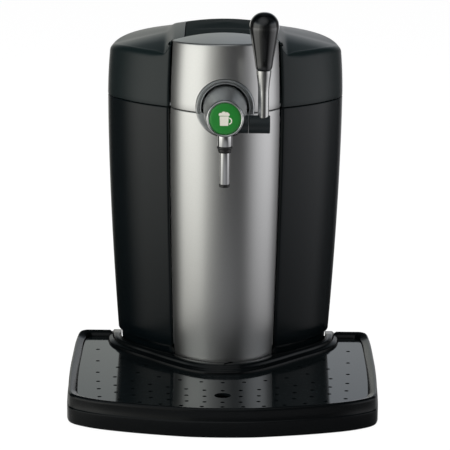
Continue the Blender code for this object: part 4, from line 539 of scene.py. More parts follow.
column_levels = [(6, 0), (30, 0), (46, 0)] + [(46 + 276 * i / 28, 0) for i in range(1, 29)]
column_levels += [(SEAM_Z - GAP - drop, back) for drop, back in reversed(EDGE_TURN)]
column_outline = curled_column(COLUMN_HALF_WIDTH, 60)
rows = [[(x, y, z) for x, y in plan_at(column_outline, z, back)] for z, back in column_levels]
column = lay_sheet("front_column_skin", rows, (0, WIDEST_Y, 180))
give_wall(column, COLUMN_WALL)
cut_away(column, rod_tool((0, -90, TAP_Z), (0, -55, TAP_Z), RING_RADIUS + GAP))
smooth(column)
dress(column, silver, "silver_lacquer", "root", "front_column")


# Lid shell. A charcoal moulding: straight walls, a soft shoulder, a low dome, and a raised band from
# the silver panel back over the crown, which flares into the dome.
LID_EDGE_RADIUS = 8.0
GROOVE_EDGE_RADIUS = 1.0
LID_GROOVE_RADIUS = 2.4
LID_WALL = 2.2
DOME_EDGE_Z = 384
DOME_RISE = 25
DOME_REAR_FALL = 5
FALL_STRETCH = (0, 70)
BAND_TOP_Z = 408.5
BAND_NOSE_DROP = 5.8
BAND_SIDE_DROP = 5.5
BAND_BLEND = 1.6
BAND_SIDE_STRETCH = (58, 70)
BAND_END_STRETCH = (60, 125)
PANEL_ARC_Y = -20
BUTTON_HALF_WIDTH = 46
BUTTON_REAR_Y = 88


def smooth_step(value, start, end):
    share = min(max((value - start) / (end - start), 0), 1)
    return share * share * (3 - 2 * share)


def lid_gauge(x, y):
    """0 over the keg's axis, and 1 on the housing's plan."""
    reach, power = (FLANK_REACH, FLANK_POWER) if y < WIDEST_Y else (REAR_REACH, REAR_POWER)
    return ((abs(x) / BODY_HALF_WIDTH) ** power + (abs(y - WIDEST_Y) / reach) ** power) ** (1 / power)


def lid_top_z(x, y):
    """Height of the dome, or of the band that stands over it along the middle."""
    gauge = min(lid_gauge(x, y), 1.2)
    dome = DOME_EDGE_Z + DOME_RISE * (1 - gauge ** 1.3)
    dome -= DOME_REAR_FALL * smooth_step(y, *FALL_STRETCH) * gauge
    forward = (WIDEST_Y - y) / (WIDEST_Y - COLUMN_FRONT_Y)
    band = BAND_TOP_Z - BAND_NOSE_DROP * forward ** 2 - BAND_SIDE_DROP * (x / COLUMN_HALF_WIDTH) ** 2
    beside = 1 - smooth_step(abs(x), *BAND_SIDE_STRETCH)
    ahead = 1 - smooth_step(y, *BAND_END_STRETCH)
    rise = band - dome
    return dome + (rise + math.hypot(rise, BAND_BLEND)) / 2 * beside * ahead


def panel_arc_y(x):
    return PANEL_ARC_Y - 18 * (x / COLUMN_HALF_WIDTH) ** 2


def along_line(points, count):
    """Evenly spaced points on a polyline."""
    lengths = [0]
    for (x0, y0), (x1, y1) in zip(points, points[1:]):
        lengths.append(lengths[-1] + math.hypot(x1 - x0, y1 - y0))
    found, leg = [], 0
    for i in range(count + 1):
        want = lengths[-1] * i / count
        while leg < len(points) - 2 and lengths[leg + 1] < want:
            leg += 1
        share = (want - lengths[leg]) / max(lengths[leg + 1] - lengths[leg], 1e-9)
        (x0, y0), (x1, y1) = points[leg], points[leg + 1]
        found.append((x0 + (x1 - x0) * min(share, 1), y0 + (y1 - y0) * min(share, 1)))
    return found


lid_plastic = moulded_plastic("lid_plastic", (0.0055, 0.0098, 0.0102), 0.33, shine=0.36)
lid_start_x, lid_groove_turn = groove_start(LID_GROOVE_RADIUS)
lid_flank = mirrored(curl(mirrored(flank_plan(lid_start_x, 60)), LID_GROOVE_RADIUS, lid_groove_turn, 3, 6))
lid_right = lid_flank + rear_plan(0, 90)[1:]
FRONT_END_Y, SIDE_END_Y = -14, 150
front_part = [p for p in lid_right if p[1] < FRONT_END_Y]
side_part = [front_part[-1]]
side_part += [p for p in lid_right if FRONT_END_Y <= p[1] and (p[1] < SIDE_END_Y or p[0] > 108)]
rear_part = [side_part[-1]] + [p for p in lid_right if p[1] >= SIDE_END_Y and p not in side_part]
ARC_END_X = 61.9
strip_x = BUTTON_HALF_WIDTH + GAP
arc_xs = [ARC_END_X - (ARC_END_X - strip_x) * i / 12 for i in range(12)] + [strip_x]
arc = [(x, panel_arc_y(x) + GAP) for x in arc_xs]
strip_edge = [arc[-1], (strip_x, BUTTON_REAR_Y + GAP)]
strip_rear = [strip_edge[-1], (0, BUTTON_REAR_Y + GAP)]
outer_right, inner_right = [], []
legs = ((front_part, arc, 40), (side_part, strip_edge, 60), (rear_part, strip_rear, 50))
for outer_leg, inner_leg, count in legs:
    outer_right += along_line(outer_leg, count)[1 if outer_right else 0:]
    inner_right += along_line(inner_leg, count)[1 if inner_right else 0:]
lid_outer = outer_right + mirrored(outer_right)[1:]
lid_inner = inner_right + mirrored(inner_right)[1:]
reach, radii = 0, []
for i, (x, y) in enumerate(lid_outer):
    if i and i <= len(outer_right):
        reach += math.hypot(x - lid_outer[i - 1][0], y - lid_outer[i - 1][1])
    if i < len(outer_right):
        radii.append(GROOVE_EDGE_RADIUS + (LID_EDGE_RADIUS - GROOVE_EDGE_RADIUS) * smooth_step(reach, 5, 34))
radii += list(reversed(radii))[1:]


def wall_and_shoulder(outline, radii, steps):
    """Rows of a lid wall from the seam up, and round its shoulder. Gives the shoulder's inner line too."""
    scale = width_scale(TOP_Z)
    shoulder = inset_each([(x * scale, y) for x, y in outline], radii)
    tops = [lid_top_z(x, y) for x, y in shoulder]
    rows = []
    for drop, back in EDGE_TURN:
        z = SEAM_Z + GAP + drop
        rows.append([(x, y, z) for x, y in plan_at(outline, z, back)])
    low = SEAM_Z + GAP + EDGE_TURN[-1][0]
    for share in [i / 10 for i in range(1, 11)]:
        row = []
        for (x, y), top, radius in zip(outline, tops, radii):
            z = low + (top - radius - low) * share
            row.append((x * width_scale(z), y, z))
        rows.append(row)
    wall_top = rows[-1]
    for step in range(1, steps + 1):
        angle = math.pi / 2 * step / steps
        rows.append([(x0 + (x1 - x0) * (1 - math.cos(angle)), y0 + (y1 - y0) * (1 - math.cos(angle)),
                      z0 + (top - z0) * math.sin(angle))
                     for (x0, y0, z0), (x1, y1), top in zip(wall_top, shoulder, tops)])
    return rows, shoulder


rows, shoulder = wall_and_shoulder(lid_outer, radii, 8)
for share in [i / 46 for i in range(1, 46)]:
    row = []
    for (x0, y0), (x1, y1) in zip(shoulder, lid_inner):
        x, y = x0 + (x1 - x0) * share, y0 + (y1 - y0) * share
        row.append((x, y, lid_top_z(x, y)))
    rows.append(row)
for drop, back in reversed(EDGE_TURN):
    row = []
    for (x0, y0), (x1, y1) in zip(shoulder, lid_inner):
        length = max(math.hypot(x1 - x0, y1 - y0), 1)
        share = 1 - min(drop * 0.8 / length, 0.02)
        x, y = x0 + (x1 - x0) * share, y0 + (y1 - y0) * share
        row.append((x, y, lid_top_z(x, y) - back * 0.8))
    rows.append(row)
shell = lay_sheet("lid_shell_skin", rows, (0, WIDEST_Y, 300))
give_wall(shell, LID_WALL)
smooth(shell, 40)
dress(shell, lid_plastic, "lid_plastic", "lid", "lid_shell")


# Silver panel of the lid. The lacquered sheet goes on up above the seam, folds over a tight edge and
# ends behind the fold in a shallow arc.
PANEL_WALL = 1.8
FOLD_RADIUS, CORNER_FOLD_RADIUS = 2.2, 0.8
panel_outline = curled_column(COLUMN_HALF_WIDTH - GAP, 60, 1.2, 0)
fold_radii = [FOLD_RADIUS - (FOLD_RADIUS - CORNER_FOLD_RADIUS) * smooth_step(abs(x), 56, 60.2)
              for x, y in panel_outline]
rows, fold = wall_and_shoulder(panel_outline, fold_radii, 6)
for share in [i / 12 for i in range(1, 13)]:
    row = []
    for x, y in fold:
        back = y + (max(panel_arc_y(x), y) - y) * share
        row.append((x, back, lid_top_z(x, back)))
    rows.append(row)
rows.append([(x, y, z - 1.2) for x, y, z in rows[-1]])
panel = lay_sheet("lid_front_panel_skin", rows, (0, 0, 350))
give_wall(panel, PANEL_WALL)
cut_away(panel, rod_tool((0, -90, TAP_Z), (0, -55, TAP_Z), RING_RADIUS + GAP))
smooth(panel)
dress(panel, silver, "silver_lacquer", "lid", "lid_front_panel")


# Release strip. The charcoal strip on the crown is pressed down to free the lid. It has a fine seam
# all round and a shallow scoop for the fingers.
strip_plastic = moulded_plastic("strip_plastic", (0.0042, 0.0073, 0.0078), 0.5, shine=0.01)
rows = []
SCOOP_DEPTH = 1.1
STRIP_WALL = 1.0
STRIP_SEAM = 0.4
STRIP_EDGE_RADIUS = 0.7
strip_half = BUTTON_HALF_WIDTH - STRIP_SEAM
strip_rear_y = BUTTON_REAR_Y - STRIP_SEAM
sides = [-1, -0.993, -0.985] + [-0.96 + 1.92 * i / 30 for i in range(31)] + [0.985, 0.993, 1]
ends = [0, 0.004, 0.01] + [0.03 + 0.94 * i / 40 for i in range(41)] + [0.99, 0.996, 1]
for along in ends:
    row = []
    for across in sides:
        x = strip_half * across
        front = panel_arc_y(x) + 0.8
        y = front + (strip_rear_y - front) * along
        edge = min(strip_half - abs(x), y - front, strip_rear_y - y)
        inside = max(STRIP_EDGE_RADIUS - edge, 0)
        roll = STRIP_EDGE_RADIUS - math.sqrt(max(STRIP_EDGE_RADIUS ** 2 - inside ** 2, 0))
        scoop = smooth_step(y, 2, 12) * (1 - smooth_step(y, 12, 40)) * (1 - smooth_step(abs(x), 20, 40))
        row.append((x, y, lid_top_z(x, y) - roll - SCOOP_DEPTH * scoop))
    rows.append(row)
strip = lay_sheet("lid_button_skin", rows, (0, WIDEST_Y, 300))
give_wall(strip, STRIP_WALL)
smooth(strip, 50)
dress(strip, strip_plastic, "lid_plastic", "release_button", "lid_button")


# Tap ring. Its upper half belongs to the lid and its lower half, the cradle, to the column. The upper
# half has a thin lip, a groove and a fine-ribbed bore; the cradle is plain with one small notch.
ring_silver = silver_paint("ring_lacquer", (0.66, 0.67, 0.67), 0.42)
ring_profile = [(RING_RADIUS, -63), (RING_RADIUS, -75.6), (32.3, -76.8), (31.6, -77.4), (30.9, -77.2),
                (30.5, -76.2), (30.3, -74.2), (29.9, -73.4), (29.3, -73.3), (28.7, -73.9), (28.2, -75.2),
                (27.6, -75.9), (27.0, -75.7), (26.6, -74.8), (26.5, -72), (26.5, -63)]
RIBS = 90
RIB_HEIGHT = 0.22
RIB_RADII = (26.4, 28.9)
ring = turn_profile("tap_ring_moulding", ring_profile, (0, 0, TAP_Z), (0, 1, 0), 2 * RIBS)
for vert in ring.data.vertices:
    x, z = vert.co.x * 1000, vert.co.z * 1000 - TAP_Z
    if RIB_RADII[0] < math.hypot(x, z) < RIB_RADII[1]:
        vert.co.y += RIB_HEIGHT / 1000 * math.sin(math.atan2(x, z) * RIBS)


def halve(piece, z, lower):
    """Cut a solid level at z and keep its upper or its lower half, closed."""
    choose(piece)
    bpy.ops.object.mode_set(mode="EDIT")
    bpy.ops.mesh.select_all(action="SELECT")
    bpy.ops.mesh.bisect(plane_co=(0, 0, z / 1000), plane_no=(0, 0, 1), use_fill=True,
                        clear_inner=not lower, clear_outer=lower)
    bpy.ops.object.mode_set(mode="OBJECT")


halve(ring, SEAM_Z + GAP, False)
smooth(ring, 40)
dress(ring, ring_silver, "silver_lacquer", "lid", "tap_ring")

cradle_profile = [(RING_RADIUS, -63), (RING_RADIUS, -74.6), (32.2, -75.7), (31.4, -76.0), (30.4, -75.4),
                  (28.6, -73.2), (26.6, -71.4), (25.2, -70.6), (24.6, -70), (24.6, -63)]
cradle = turn_profile("tap_cradle_moulding", cradle_profile, (0, 0, TAP_Z), (0, 1, 0), 120)
halve(cradle, SEAM_Z - GAP, True)
smooth(cradle, 40)
dress(cradle, ring_silver, "silver_lacquer", "root", "tap_cradle")


# Tap head. A turned and blasted steel cone carries the badge in a bright bezel. The badge is a domed
# green disc with a plain mug in relief.
def satin_metal(name, colour, roughness, lines=(0, 0, 0), depth=0.05):
    """Blasted or brushed metal: a fine grain, and streaks that run across the axes set in lines."""
    made = bpy.data.materials.new(name)
    board = Board(made)
    shader = board.tree.nodes["Principled BSDF"]
    where = board.node("ShaderNodeTexCoord", output=3)
    stretched = board.node("ShaderNodeMapping", {0: where, 3: tuple(2400 if a else 60 for a in lines)})
    streak = board.node("ShaderNodeTexNoise", {"Vector": stretched, "Scale": 1, "Detail": 3,
                                               "Roughness": 0.6})
    grain = board.node("ShaderNodeTexNoise", {"Vector": where, "Scale": 3000, "Detail": 2})
    dark, light = shades(colour, 0.9, 1.07)
    board.feed(shader.inputs["Base Color"], pick(board, streak * 0.6 + grain * 0.4, dark, light))
    board.feed(shader.inputs["Roughness"], streak * 0.12 + grain * 0.06 + (roughness - 0.09))
    board.feed(shader.inputs["Normal"], board.node(
        "ShaderNodeBump", {"Height": streak * 0.5 + grain * 0.5, "Strength": depth, "Distance": 0.0001}))
    shader.inputs["Metallic"].default_value = 1.0
    made.diffuse_color = (*colour, 1)
    return made


satin = satin_metal("satin_steel", (0.84, 0.86, 0.87), 0.42, lines=(0, 1, 0))
polished = satin_metal("chrome", (0.86, 0.86, 0.86), 0.07, depth=0.01)
HEAD_RADIUS = 24.2
CONE_START_Y = -84
CONE_LENGTH = 53.2
CONE_NARROWING = 4.0
head_stations = [CONE_START_Y - CONE_LENGTH * i / 16 for i in range(17)]
head_outer = [(HEAD_RADIUS - CONE_NARROWING * ((CONE_START_Y - y) / 54) ** 1.5, y) for y in head_stations]
head_front = [(19.9, -137.9), (19.4, -138.1), (0, -138.1)]
head_profile = [(0, -62), (HEAD_RADIUS, -62), (HEAD_RADIUS, -80)] + head_outer + head_front
head = turn_profile("tap_head_body", head_profile, (0, 0, TAP_Z), (0, 1, 0), 128)
smooth(head, 50)
dress(head, satin, "satin_steel", "root", "tap_head")

bezel_profile = [(17.7, -138.3), (20.2, -138.3), (20.35, -139.0), (20.2, -139.9), (19.7, -140.6),
                 (19.0, -140.85), (18.3, -140.6), (17.8, -139.9), (17.65, -139.2)]
bezel = turn_profile("badge_bezel_ring", bezel_profile, (0, 0, TAP_Z), (0, 1, 0), 128)
smooth(bezel, 70)
dress(bezel, polished, "chrome", "root", "badge_bezel")

badge_green = moulded_plastic("badge_green", (0.01, 0.19, 0.022), 0.3, grain=0.02, coat=0.3, haze=0.02)
badge_profile = [(0, -137.4), (17.3, -137.4), (17.3, -139.2), (17.0, -139.5), (14, -139.85),
                 (10, -140.1), (5, -140.25), (0, -140.3)]
badge = turn_profile("tap_badge_disc", badge_profile, (0, 0, TAP_Z), (0, 1, 0), 128)
smooth(badge, 50)
dress(badge, badge_green, "badge_green", "root", "tap_badge")


# Mug in relief on the badge. Body, froth and handle are cream plastic, moulded with the disc and
# standing a little proud of it.
cream = moulded_plastic("badge_cream", (0.72, 0.7, 0.6), 0.4, grain=0.02, coat=0.3, haze=0.02)


def slab(name, points, push):
    """A flat outline of points, in millimetres, extruded along push."""
    bpy.ops.mesh.primitive_circle_add(vertices=len(points), radius=1, fill_type="NGON")
    piece = bpy.context.object
    piece.name = name
    for vert, point in zip(piece.data.vertices, points):
        vert.co = Vector(point) / 1000
    bpy.ops.object.mode_set(mode="EDIT")
    bpy.ops.mesh.select_all(action="SELECT")
    bpy.ops.mesh.extrude_region_move(TRANSFORM_OT_translate={"value": [d / 1000 for d in push]})
    bpy.ops.mesh.select_all(action="SELECT")
    bpy.ops.mesh.normals_make_consistent(inside=False)
    bpy.ops.object.mode_set(mode="OBJECT")
    return piece


mug = [(-5.0, -7.5), (3.2, -7.5), (3.6, -7.1), (4.0, 3.0), (-5.8, 3.0), (-5.4, -7.1)]
froth = [(-6.6, 3.6), (-6.9, 4.9), (-6.3, 6.2), (-5.1, 6.8), (-4.0, 6.6), (-3.2, 7.7), (-1.9, 8.3),
         (-0.4, 8.1), (0.6, 7.3), (1.7, 7.7), (3.0, 7.4), (3.9, 6.5), (4.7, 6.0), (5.1, 5.0), (4.8, 3.9),
         (4.2, 3.5)]
half_turn = [math.pi * i / 14 for i in range(15)]
handle = [(4.4 + 3.4 * math.sin(a), -2.2 - 3.9 * math.cos(a)) for a in half_turn]
handle += [(4.4 + 2.1 * math.sin(a), -2.2 - 2.6 * math.cos(a)) for a in reversed(half_turn)]
reliefs = (("badge_mug", mug, -140.35, 0.9), ("badge_froth", froth, -140.45, 1.0),
           ("badge_handle", handle, -140.3, 0.9))
for name, outline, front_y, depth in reliefs:
    shape = slab(name, [(x, front_y + depth, TAP_Z + z) for x, z in outline], (0, -depth, 0))
    smooth(shape)
    dress(shape, cream, "badge_green", "root")


# Spout. A bright collar under the head holds a black seal, and the steel tube below it ends in a
# short black tip.
SPOUT_FOOT = (0, -122, 0)
black_rubber = moulded_plastic("rubber", (0.012, 0.012, 0.012), 0.36, grain=0.15)
collar_profile = [(6.2, 298), (8.0, 298), (8.2, 298.4), (8.2, 312), (6.2, 312)]
seal_profile = [(6.1, 290.6), (6.5, 290.6), (7.0, 291.0), (7.4, 292.4), (7.7, 293.6), (7.4, 294.2),
                (7.6, 294.7), (8.5, 295.4), (8.7, 296.2), (8.6, 297.2), (8.2, 297.8), (6.1, 297.8)]
tube_profile = [(4.6, 255.4), (5.6, 255.4), (5.7, 255.6), (5.7, 312), (4.6, 312)]
tip_profile = [(4.6, 252), (5.5, 252), (5.85, 252.4), (5.9, 255.1), (4.6, 255.1)]
spout_pieces = (
    ("spout_collar", "spout_collar_sleeve", collar_profile, polished, "chrome", 35),
    ("nozzle_seal", "nozzle_seal_ring", seal_profile, black_rubber, "rubber", 50),
    ("spout_tube", "spout_tube_pipe", tube_profile, polished, "chrome", 35),
    ("spout_tip", "spout_tip_cap", tip_profile, black_rubber, "rubber", 35),
)
for node, name, profile, material, slot, angle in spout_pieces:
    piece = turn_profile(name, profile, SPOUT_FOOT, (0, 0, 1), 64)
    smooth(piece, angle)
    dress(piece, material, slot, "root", node)


# Lever. A dark satin barrel turns on the pivot block beside the head; a steel rod rises from it and
# flares into the polished black knob.
dark_satin = moulded_plastic("dark_satin_paint", (0.012, 0.017, 0.0185), 0.34, grain=0.08, coat=0.1,
                             haze=0.03)
LEVER_AXIS = (0, -112, 320.4)
LEVER_FOOT = (42, -112, 0)
block_profile = [(0, 14), (9.6, 14), (10, 14.4), (10, 25.2), (9.6, 25.6), (0, 25.6)]
pivot = turn_profile("pivot_block_body", block_profile, LEVER_AXIS, (1, 0, 0), 96)
clear_profile = [(0, -62), (HEAD_RADIUS + GAP, -62), (HEAD_RADIUS + GAP, CONE_START_Y)]
clear_profile += [(r + GAP, y) for r, y in head_outer] + [(0, -138)]
cut_away(pivot, turn_profile("tool", clear_profile, (0, 0, TAP_Z), (0, 1, 0), 128))
smooth(pivot)
dress(pivot, dark_satin, "dark_satin", "root", "pivot_block")
barrel_profile = [(0, 26.1), (9.5, 26.1), (10, 26.6), (10, 48.3), (9.7, 49.1), (9.0, 49.5), (0, 49.5)]
barrel = turn_profile("lever_barrel_body", barrel_profile, LEVER_AXIS, (1, 0, 0), 96)
smooth(barrel)
dress(barrel, dark_satin, "dark_satin", "lever", "lever_barrel")


def curve_through(points, steps):
    """A smooth line through points (Catmull-Rom), with steps pieces between each pair."""
    line = []
    for i in range(len(points) - 1):
        before, here = points[max(i - 1, 0)], points[i]
        there, after = points[i + 1], points[min(i + 2, len(points) - 1)]
        for k in range(steps):
            t = k / steps
            line.append(tuple(0.5 * (2 * q + (r - p) * t + (2 * p - 5 * q + 4 * r - s) * t * t
                                     + (3 * q - p - 3 * r + s) * t ** 3)
                              for p, q, r, s in zip(before, here, there, after)))
    line.append(tuple(points[-1]))
    return line


rod_steel = satin_metal("rod_steel", (0.62, 0.62, 0.61), 0.22, depth=0.03)
rod_points = curve_through([(6.0, 326), (6.0, 352), (6.15, 360), (6.9, 368), (7.9, 376), (8.3, 380.6)], 6)
rod_profile = [(0, 326)] + rod_points + [(0, 380.6)]
rod = turn_profile("lever_rod_body", rod_profile, LEVER_FOOT, (0, 0, 1), 64)
smooth(rod, 50)
dress(rod, rod_steel, "satin_steel", "lever", "lever_rod")
knob_gloss = moulded_plastic("knob_gloss", (0.0015, 0.0018, 0.002), 0.07, grain=0.0, coat=1.0, haze=0.01,
                             shine=0.6)
knob_points = curve_through([(6.6, 380.9), (8.1, 381.6), (8.9, 383.4), (9.5, 386), (10.3, 391.8),
                             (11.9, 401.3), (13.6, 410.8), (15.3, 420.3), (16.3, 427), (16.1, 431),
                             (15.3, 434.6), (13.9, 437.4), (12.1, 439.7), (9.6, 441.9), (6.3, 443.6),
                             (3, 444.4), (0.01, 444.6)], 5)
knob_profile = [(0, 380.9)] + knob_points[:-1] + [(0, 444.6)]
knob = turn_profile("lever_knob_body", knob_profile, LEVER_FOOT, (0, 0, 1), 96)
smooth(knob, 60)
dress(knob, knob_gloss, "black_gloss", "lever", "lever_knob")


# Drip tray. One gloss black moulding: a bowed front wall with a fine step, a rim that slopes in to
# the plate, and a ridged collar that hugs the housing.
TRAY_HALF_WIDTH = 175
TRAY_FRONT_Y = -238
TRAY_DEPTH = 303
TRAY_REAR_Y = TRAY_FRONT_Y + TRAY_DEPTH
TRAY_WALL = 1.0
TRAY_REAR_LIFT = 2.4
tray_shares = [(0, 0), (0.13, 0.0025), (0.26, 0.011), (0.53, 0.044), (0.77, 0.087), (0.90, 0.128),
               (0.953, 0.158), (0.972, 0.187), (0.981, 0.235), (0.994, 0.41), (1, 0.60), (1, 0.80),
               (0.998, 0.89), (0.992, 0.945), (0.98, 0.98), (0.957, 0.996), (0.935, 1), (0.86, 1),
               (0.785, 1)]
tray_curve = curve_through(tray_shares, 5)
tray_curve = [(min(x, 1), min(max(y, 0), 1)) for x, y in tray_curve]


def tray_right(margin, curve):
    """The right half of the tray's plan, moved in by margin."""
    return [(x * (TRAY_HALF_WIDTH - margin), TRAY_FRONT_Y + margin + (TRAY_DEPTH - 2 * margin) * y)
            for x, y in curve]


def tray_line(margin):
    right = tray_right(margin, tray_curve)
    return mirrored(right)[:-1] + right


tray_gloss = moulded_plastic("tray_gloss", (0.0014, 0.002, 0.0023), 0.2, grain=0.03, coat=0.08, haze=0.03,
                             shine=0.28)
# Each step of the wall has its distance inside the tray's plan, and its height.
tray_steps = [(3, 0.2), (0.9, 0.4), (0.3, 1.2), (0, 2.6), (0, 16.6), (0.1, 17.2), (0.35, 17.6),
              (0.9, 18.1), (1.1, 18.6), (1.15, 28.6), (1.3, 30.4), (1.7, 31.7), (2.4, 32.6), (3.3, 33),
              (4.2, 32.95), (6, 32.4), (9, 31.2), (10.2, 30.5), (10.8, 29.7), (11, 28.8), (11, 26.4),
              (13.9, 25.6), (14, 25), (14.2, 3.2)]
rows = [[(x, y, z + TRAY_REAR_LIFT * smooth_step(y, 38, 60) * smooth_step(z, 29, 32))
         for x, y in tray_line(margin)] for margin, z in tray_steps]
wall = lay_sheet("drip_tray_wall", rows, (0, -60, -400))

COLLAR_HALF_WIDTH = 136
COLLAR_FRONT_Y = -97
COLLAR_TOP_Z = 38
NOTCH_CLEARANCE = 0.8
PLINTH_TUCK = 2.6
collar_shares = [(0, 0), (0.09, 0.007), (0.18, 0.028), (0.325, 0.112), (0.50, 0.276), (0.655, 0.441),
                 (0.80, 0.59), (0.92, 0.74), (0.98, 0.87), (1, 1)]
collar_curve = curve_through(collar_shares, 6)
notch_right = [p for p in column_plan(COLUMN_HALF_WIDTH, 40) if p[0] >= 0]
notch_right += flank_plan(COLUMN_HALF_WIDTH + 0.9, 40)
notch_scale = width_scale(COLLAR_TOP_Z)
notch_line = inset([(x * notch_scale, y) for x, y in notch_right], -NOTCH_CLEARANCE)


def line_hit(line, x, y):
    """Where the line from the keg's axis to a point crosses another line round the keg."""
    want = math.atan2(x, WIDEST_Y - y)
    for (x0, y0), (x1, y1) in zip(line, line[1:]):
        a0, a1 = math.atan2(x0, WIDEST_Y - y0), math.atan2(x1, WIDEST_Y - y1)
        if a0 <= want <= a1:
            share = (want - a0) / max(a1 - a0, 1e-9)
            return x0 + (x1 - x0) * share, y0 + (y1 - y0) * share
    return line[-1]


# Each step has its distance inside the collar's foot, its share of the way to the notch, and its height.
collar_steps = [(0, 0, 3.2), (0, 0, 26), (0, 0, 30.4), (0.25, 0, 31.2), (0.8, 0, 31.9), (1.5, 0, 32.4),
                (2.6, 0, 32.8), (4.6, 0, 33.4), (5.4, 0, 33.9), (5.9, 0, 35.0), (6.5, 0, 36.6),
                (7.2, 0, 37.5), (8.2, 0, 38), (8.2, 0.5, 38), (8.2, 0.9, 37.7), (8.2, 1, 37.0),
                (8.2, 1, 0.3)]
collar_ends = (((WIDEST_Y + TRAY_REAR_Y) / 2, 36.4), (TRAY_REAR_Y, 35.2))
rows = []
for step, share, z in collar_steps:
    row = []
    for sx, sy in collar_curve:
        x = sx * (COLLAR_HALF_WIDTH - step)
        y = COLLAR_FRONT_Y + step + (WIDEST_Y - COLLAR_FRONT_Y - step) * sy
        nx, ny = line_hit(notch_line, x, y)
        nx -= PLINTH_TUCK * smooth_step(y, 0, WIDEST_Y)
        row.append((x + (nx - x) * share, y + (ny - y) * share, z))
    for y, top in collar_ends:
        row.append((row[-1][0], y, min(z, top)))
    rows.append([(-x, y, z) for x, y, z in reversed(row[1:])] + row)
collar_sheet = lay_sheet("drip_tray_collar", rows, (0, 20, -400))
give_wall(wall, TRAY_WALL)
give_wall(collar_sheet, TRAY_WALL)
tray_floor = slab("drip_tray_floor", [(x, y, 0.4) for x, y in tray_line(13)], (0, 0, 2.6))
behind = [(notch_line[-1][0], 80), (-notch_line[-1][0], 80)]
notch_tool_line = mirrored(notch_line[1:]) + notch_line + behind
cut_away(tray_floor, slab("tool", [(x, y, -5) for x, y in notch_tool_line], (0, 0, 50)))
choose(wall, collar_sheet, tray_floor)
bpy.ops.object.join()
smooth(wall, 40)
dress(wall, tray_gloss, "black_gloss", "tray", "drip_tray")


# Drip plate. A polished black plate lies loose in the tray. It has a hole to lift it by with a finger,
# and bowed rows of small drain holes.
plate_gloss = moulded_plastic("plate_gloss", (0.004, 0.0055, 0.006), 0.08, grain=0.0, coat=0.3, haze=0.01)
PLATE_MARGIN = 11.4
PLATE_CLEARANCE = 0.4
PLATE_LOW_Z = 26
PLATE_THICKNESS = 3
DRAIN_RADIUS = 2.4
HOLE_MARGIN = 5
FINGER_RADIUS = 9.2
FINGER_SURROUND = 14
FINGER_Y = -176
inner_half = COLLAR_HALF_WIDTH + PLATE_CLEARANCE
inner_front_y = COLLAR_FRONT_Y - PLATE_CLEARANCE
collar_edge = [(sx * inner_half, inner_front_y + (WIDEST_Y - inner_front_y) * sy) for sx, sy in collar_curve]
plate_right = tray_right(PLATE_MARGIN, [p for p in tray_curve if p[0] > 0.86 or p[1] < 0.9])
plate_line = plate_right + [(inner_half, TRAY_REAR_Y - PLATE_MARGIN)] + list(reversed(collar_edge))
plate_full = plate_line + mirrored(plate_line[1:-1])
plate = slab("drip_grid_plate", [(x, y, PLATE_LOW_Z) for x, y in plate_full], (0, 0, PLATE_THICKNESS))


def near_collar(x, y):
    edge_x, edge_y = line_hit(collar_edge, abs(x), y)
    return math.hypot(x, WIDEST_Y - y) < math.hypot(edge_x, WIDEST_Y - edge_y) + HOLE_MARGIN


def hole_tool(x, y, radius, sides):
    middle = Vector((x, y, PLATE_LOW_Z + PLATE_THICKNESS / 2)) / 1000
    bpy.ops.mesh.primitive_cylinder_add(vertices=sides, radius=radius / 1000, depth=0.01, location=middle)
    return bpy.context.object


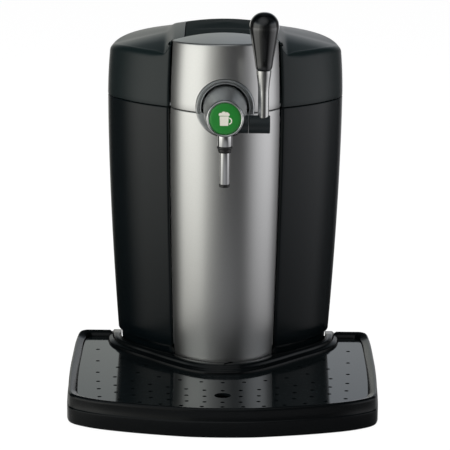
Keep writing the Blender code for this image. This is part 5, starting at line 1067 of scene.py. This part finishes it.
# Rows of drain holes from the collar to the front: place, number on each side and bow of each row.
hole_rows = zip((0, 0.25, 0.505, 0.69, 0.86, 1), (5, 6, 7, 7, 7, 6), (1, 0.85, 0.72, 0.60, 0.53, 0.40))
REAR_ROW_REACH = 146
FRONT_ROW_REACH = 135
REAR_ROW_Y = -98
FRONT_ROW_Y = -217.5
tools = []
for row, (share, count, bow) in enumerate(hole_rows):
    reach = REAR_ROW_REACH + (FRONT_ROW_REACH - REAR_ROW_REACH) * row / 5
    for i in range(-count, count + 1):
        x = reach * i / count
        y = REAR_ROW_Y + (FRONT_ROW_Y - REAR_ROW_Y) * share - REAR_ROW_Y * bow * (x / REAR_ROW_REACH) ** 2
        if (row == 0 and i == 0) or math.hypot(x, y - FINGER_Y) < FINGER_SURROUND or near_collar(x, y):
            continue
        tools.append(hole_tool(x, y, DRAIN_RADIUS, 20))
tools.append(hole_tool(0, FINGER_Y, FINGER_RADIUS, 64))
choose(*tools)
bpy.ops.object.join()
cut_away(plate, tools[0])
smooth(plate, 30)
dress(plate, plate_gloss, "black_gloss", "grid", "drip_grid")


# Hidden pieces. They keep their CAD shape and get the finish of the real material: dark and grey
# plastic, steel, aluminium, rubber, foam, circuit board and clear hose.
black_plastic = moulded_plastic("black_plastic", (0.014, 0.014, 0.015), 0.45)
grey_plastic = moulded_plastic("grey_plastic", (0.36, 0.37, 0.38), 0.5)
aluminium = satin_metal("aluminium", (0.72, 0.73, 0.74), 0.35, lines=(0, 0, 1), depth=0.08)
foam = moulded_plastic("foam", (0.8, 0.8, 0.78), 0.85, grain=0.6)
board_green = moulded_plastic("circuit_board", (0.02, 0.16, 0.05), 0.45)
clear_tube = moulded_plastic("clear_tube", (0.75, 0.78, 0.78), 0.2, grain=0.02)
kept = {
    black_plastic: ["base_pan", "chamber_stand", "fan_frame", "fan_rotor", "switch_housing",
                    "switch_rocker", "hinge_bracket_left", "hinge_bracket_right", "lid_hinge_leaf_left",
                    "lid_hinge_leaf_right", "button_carrier"],
    grey_plastic: ["peltier_module", "tube_coupling", "pinch_slider", "pinch_anvil", "lid_liner",
                   "latch_hook", "latch_guide"],
    satin: ["lever_shaft", "transformer", "latch_striker", "hinge_pin", "button_spring"],
    black_rubber: ["foot_front_left", "foot_front_right", "foot_rear_left", "foot_rear_right", "cord_gland",
                   "lid_gasket"],
    aluminium: ["cooling_chamber", "cold_block", "heat_sink"],
    foam: ["insulation_jacket"],
    board_green: ["control_board", "power_board"],
    clear_tube: ["beer_tube"],
    charcoal: ["chamber_deck"],
}
for material, names in kept.items():
    for name in names:
        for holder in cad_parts[name].material_slots:
            holder.material = material
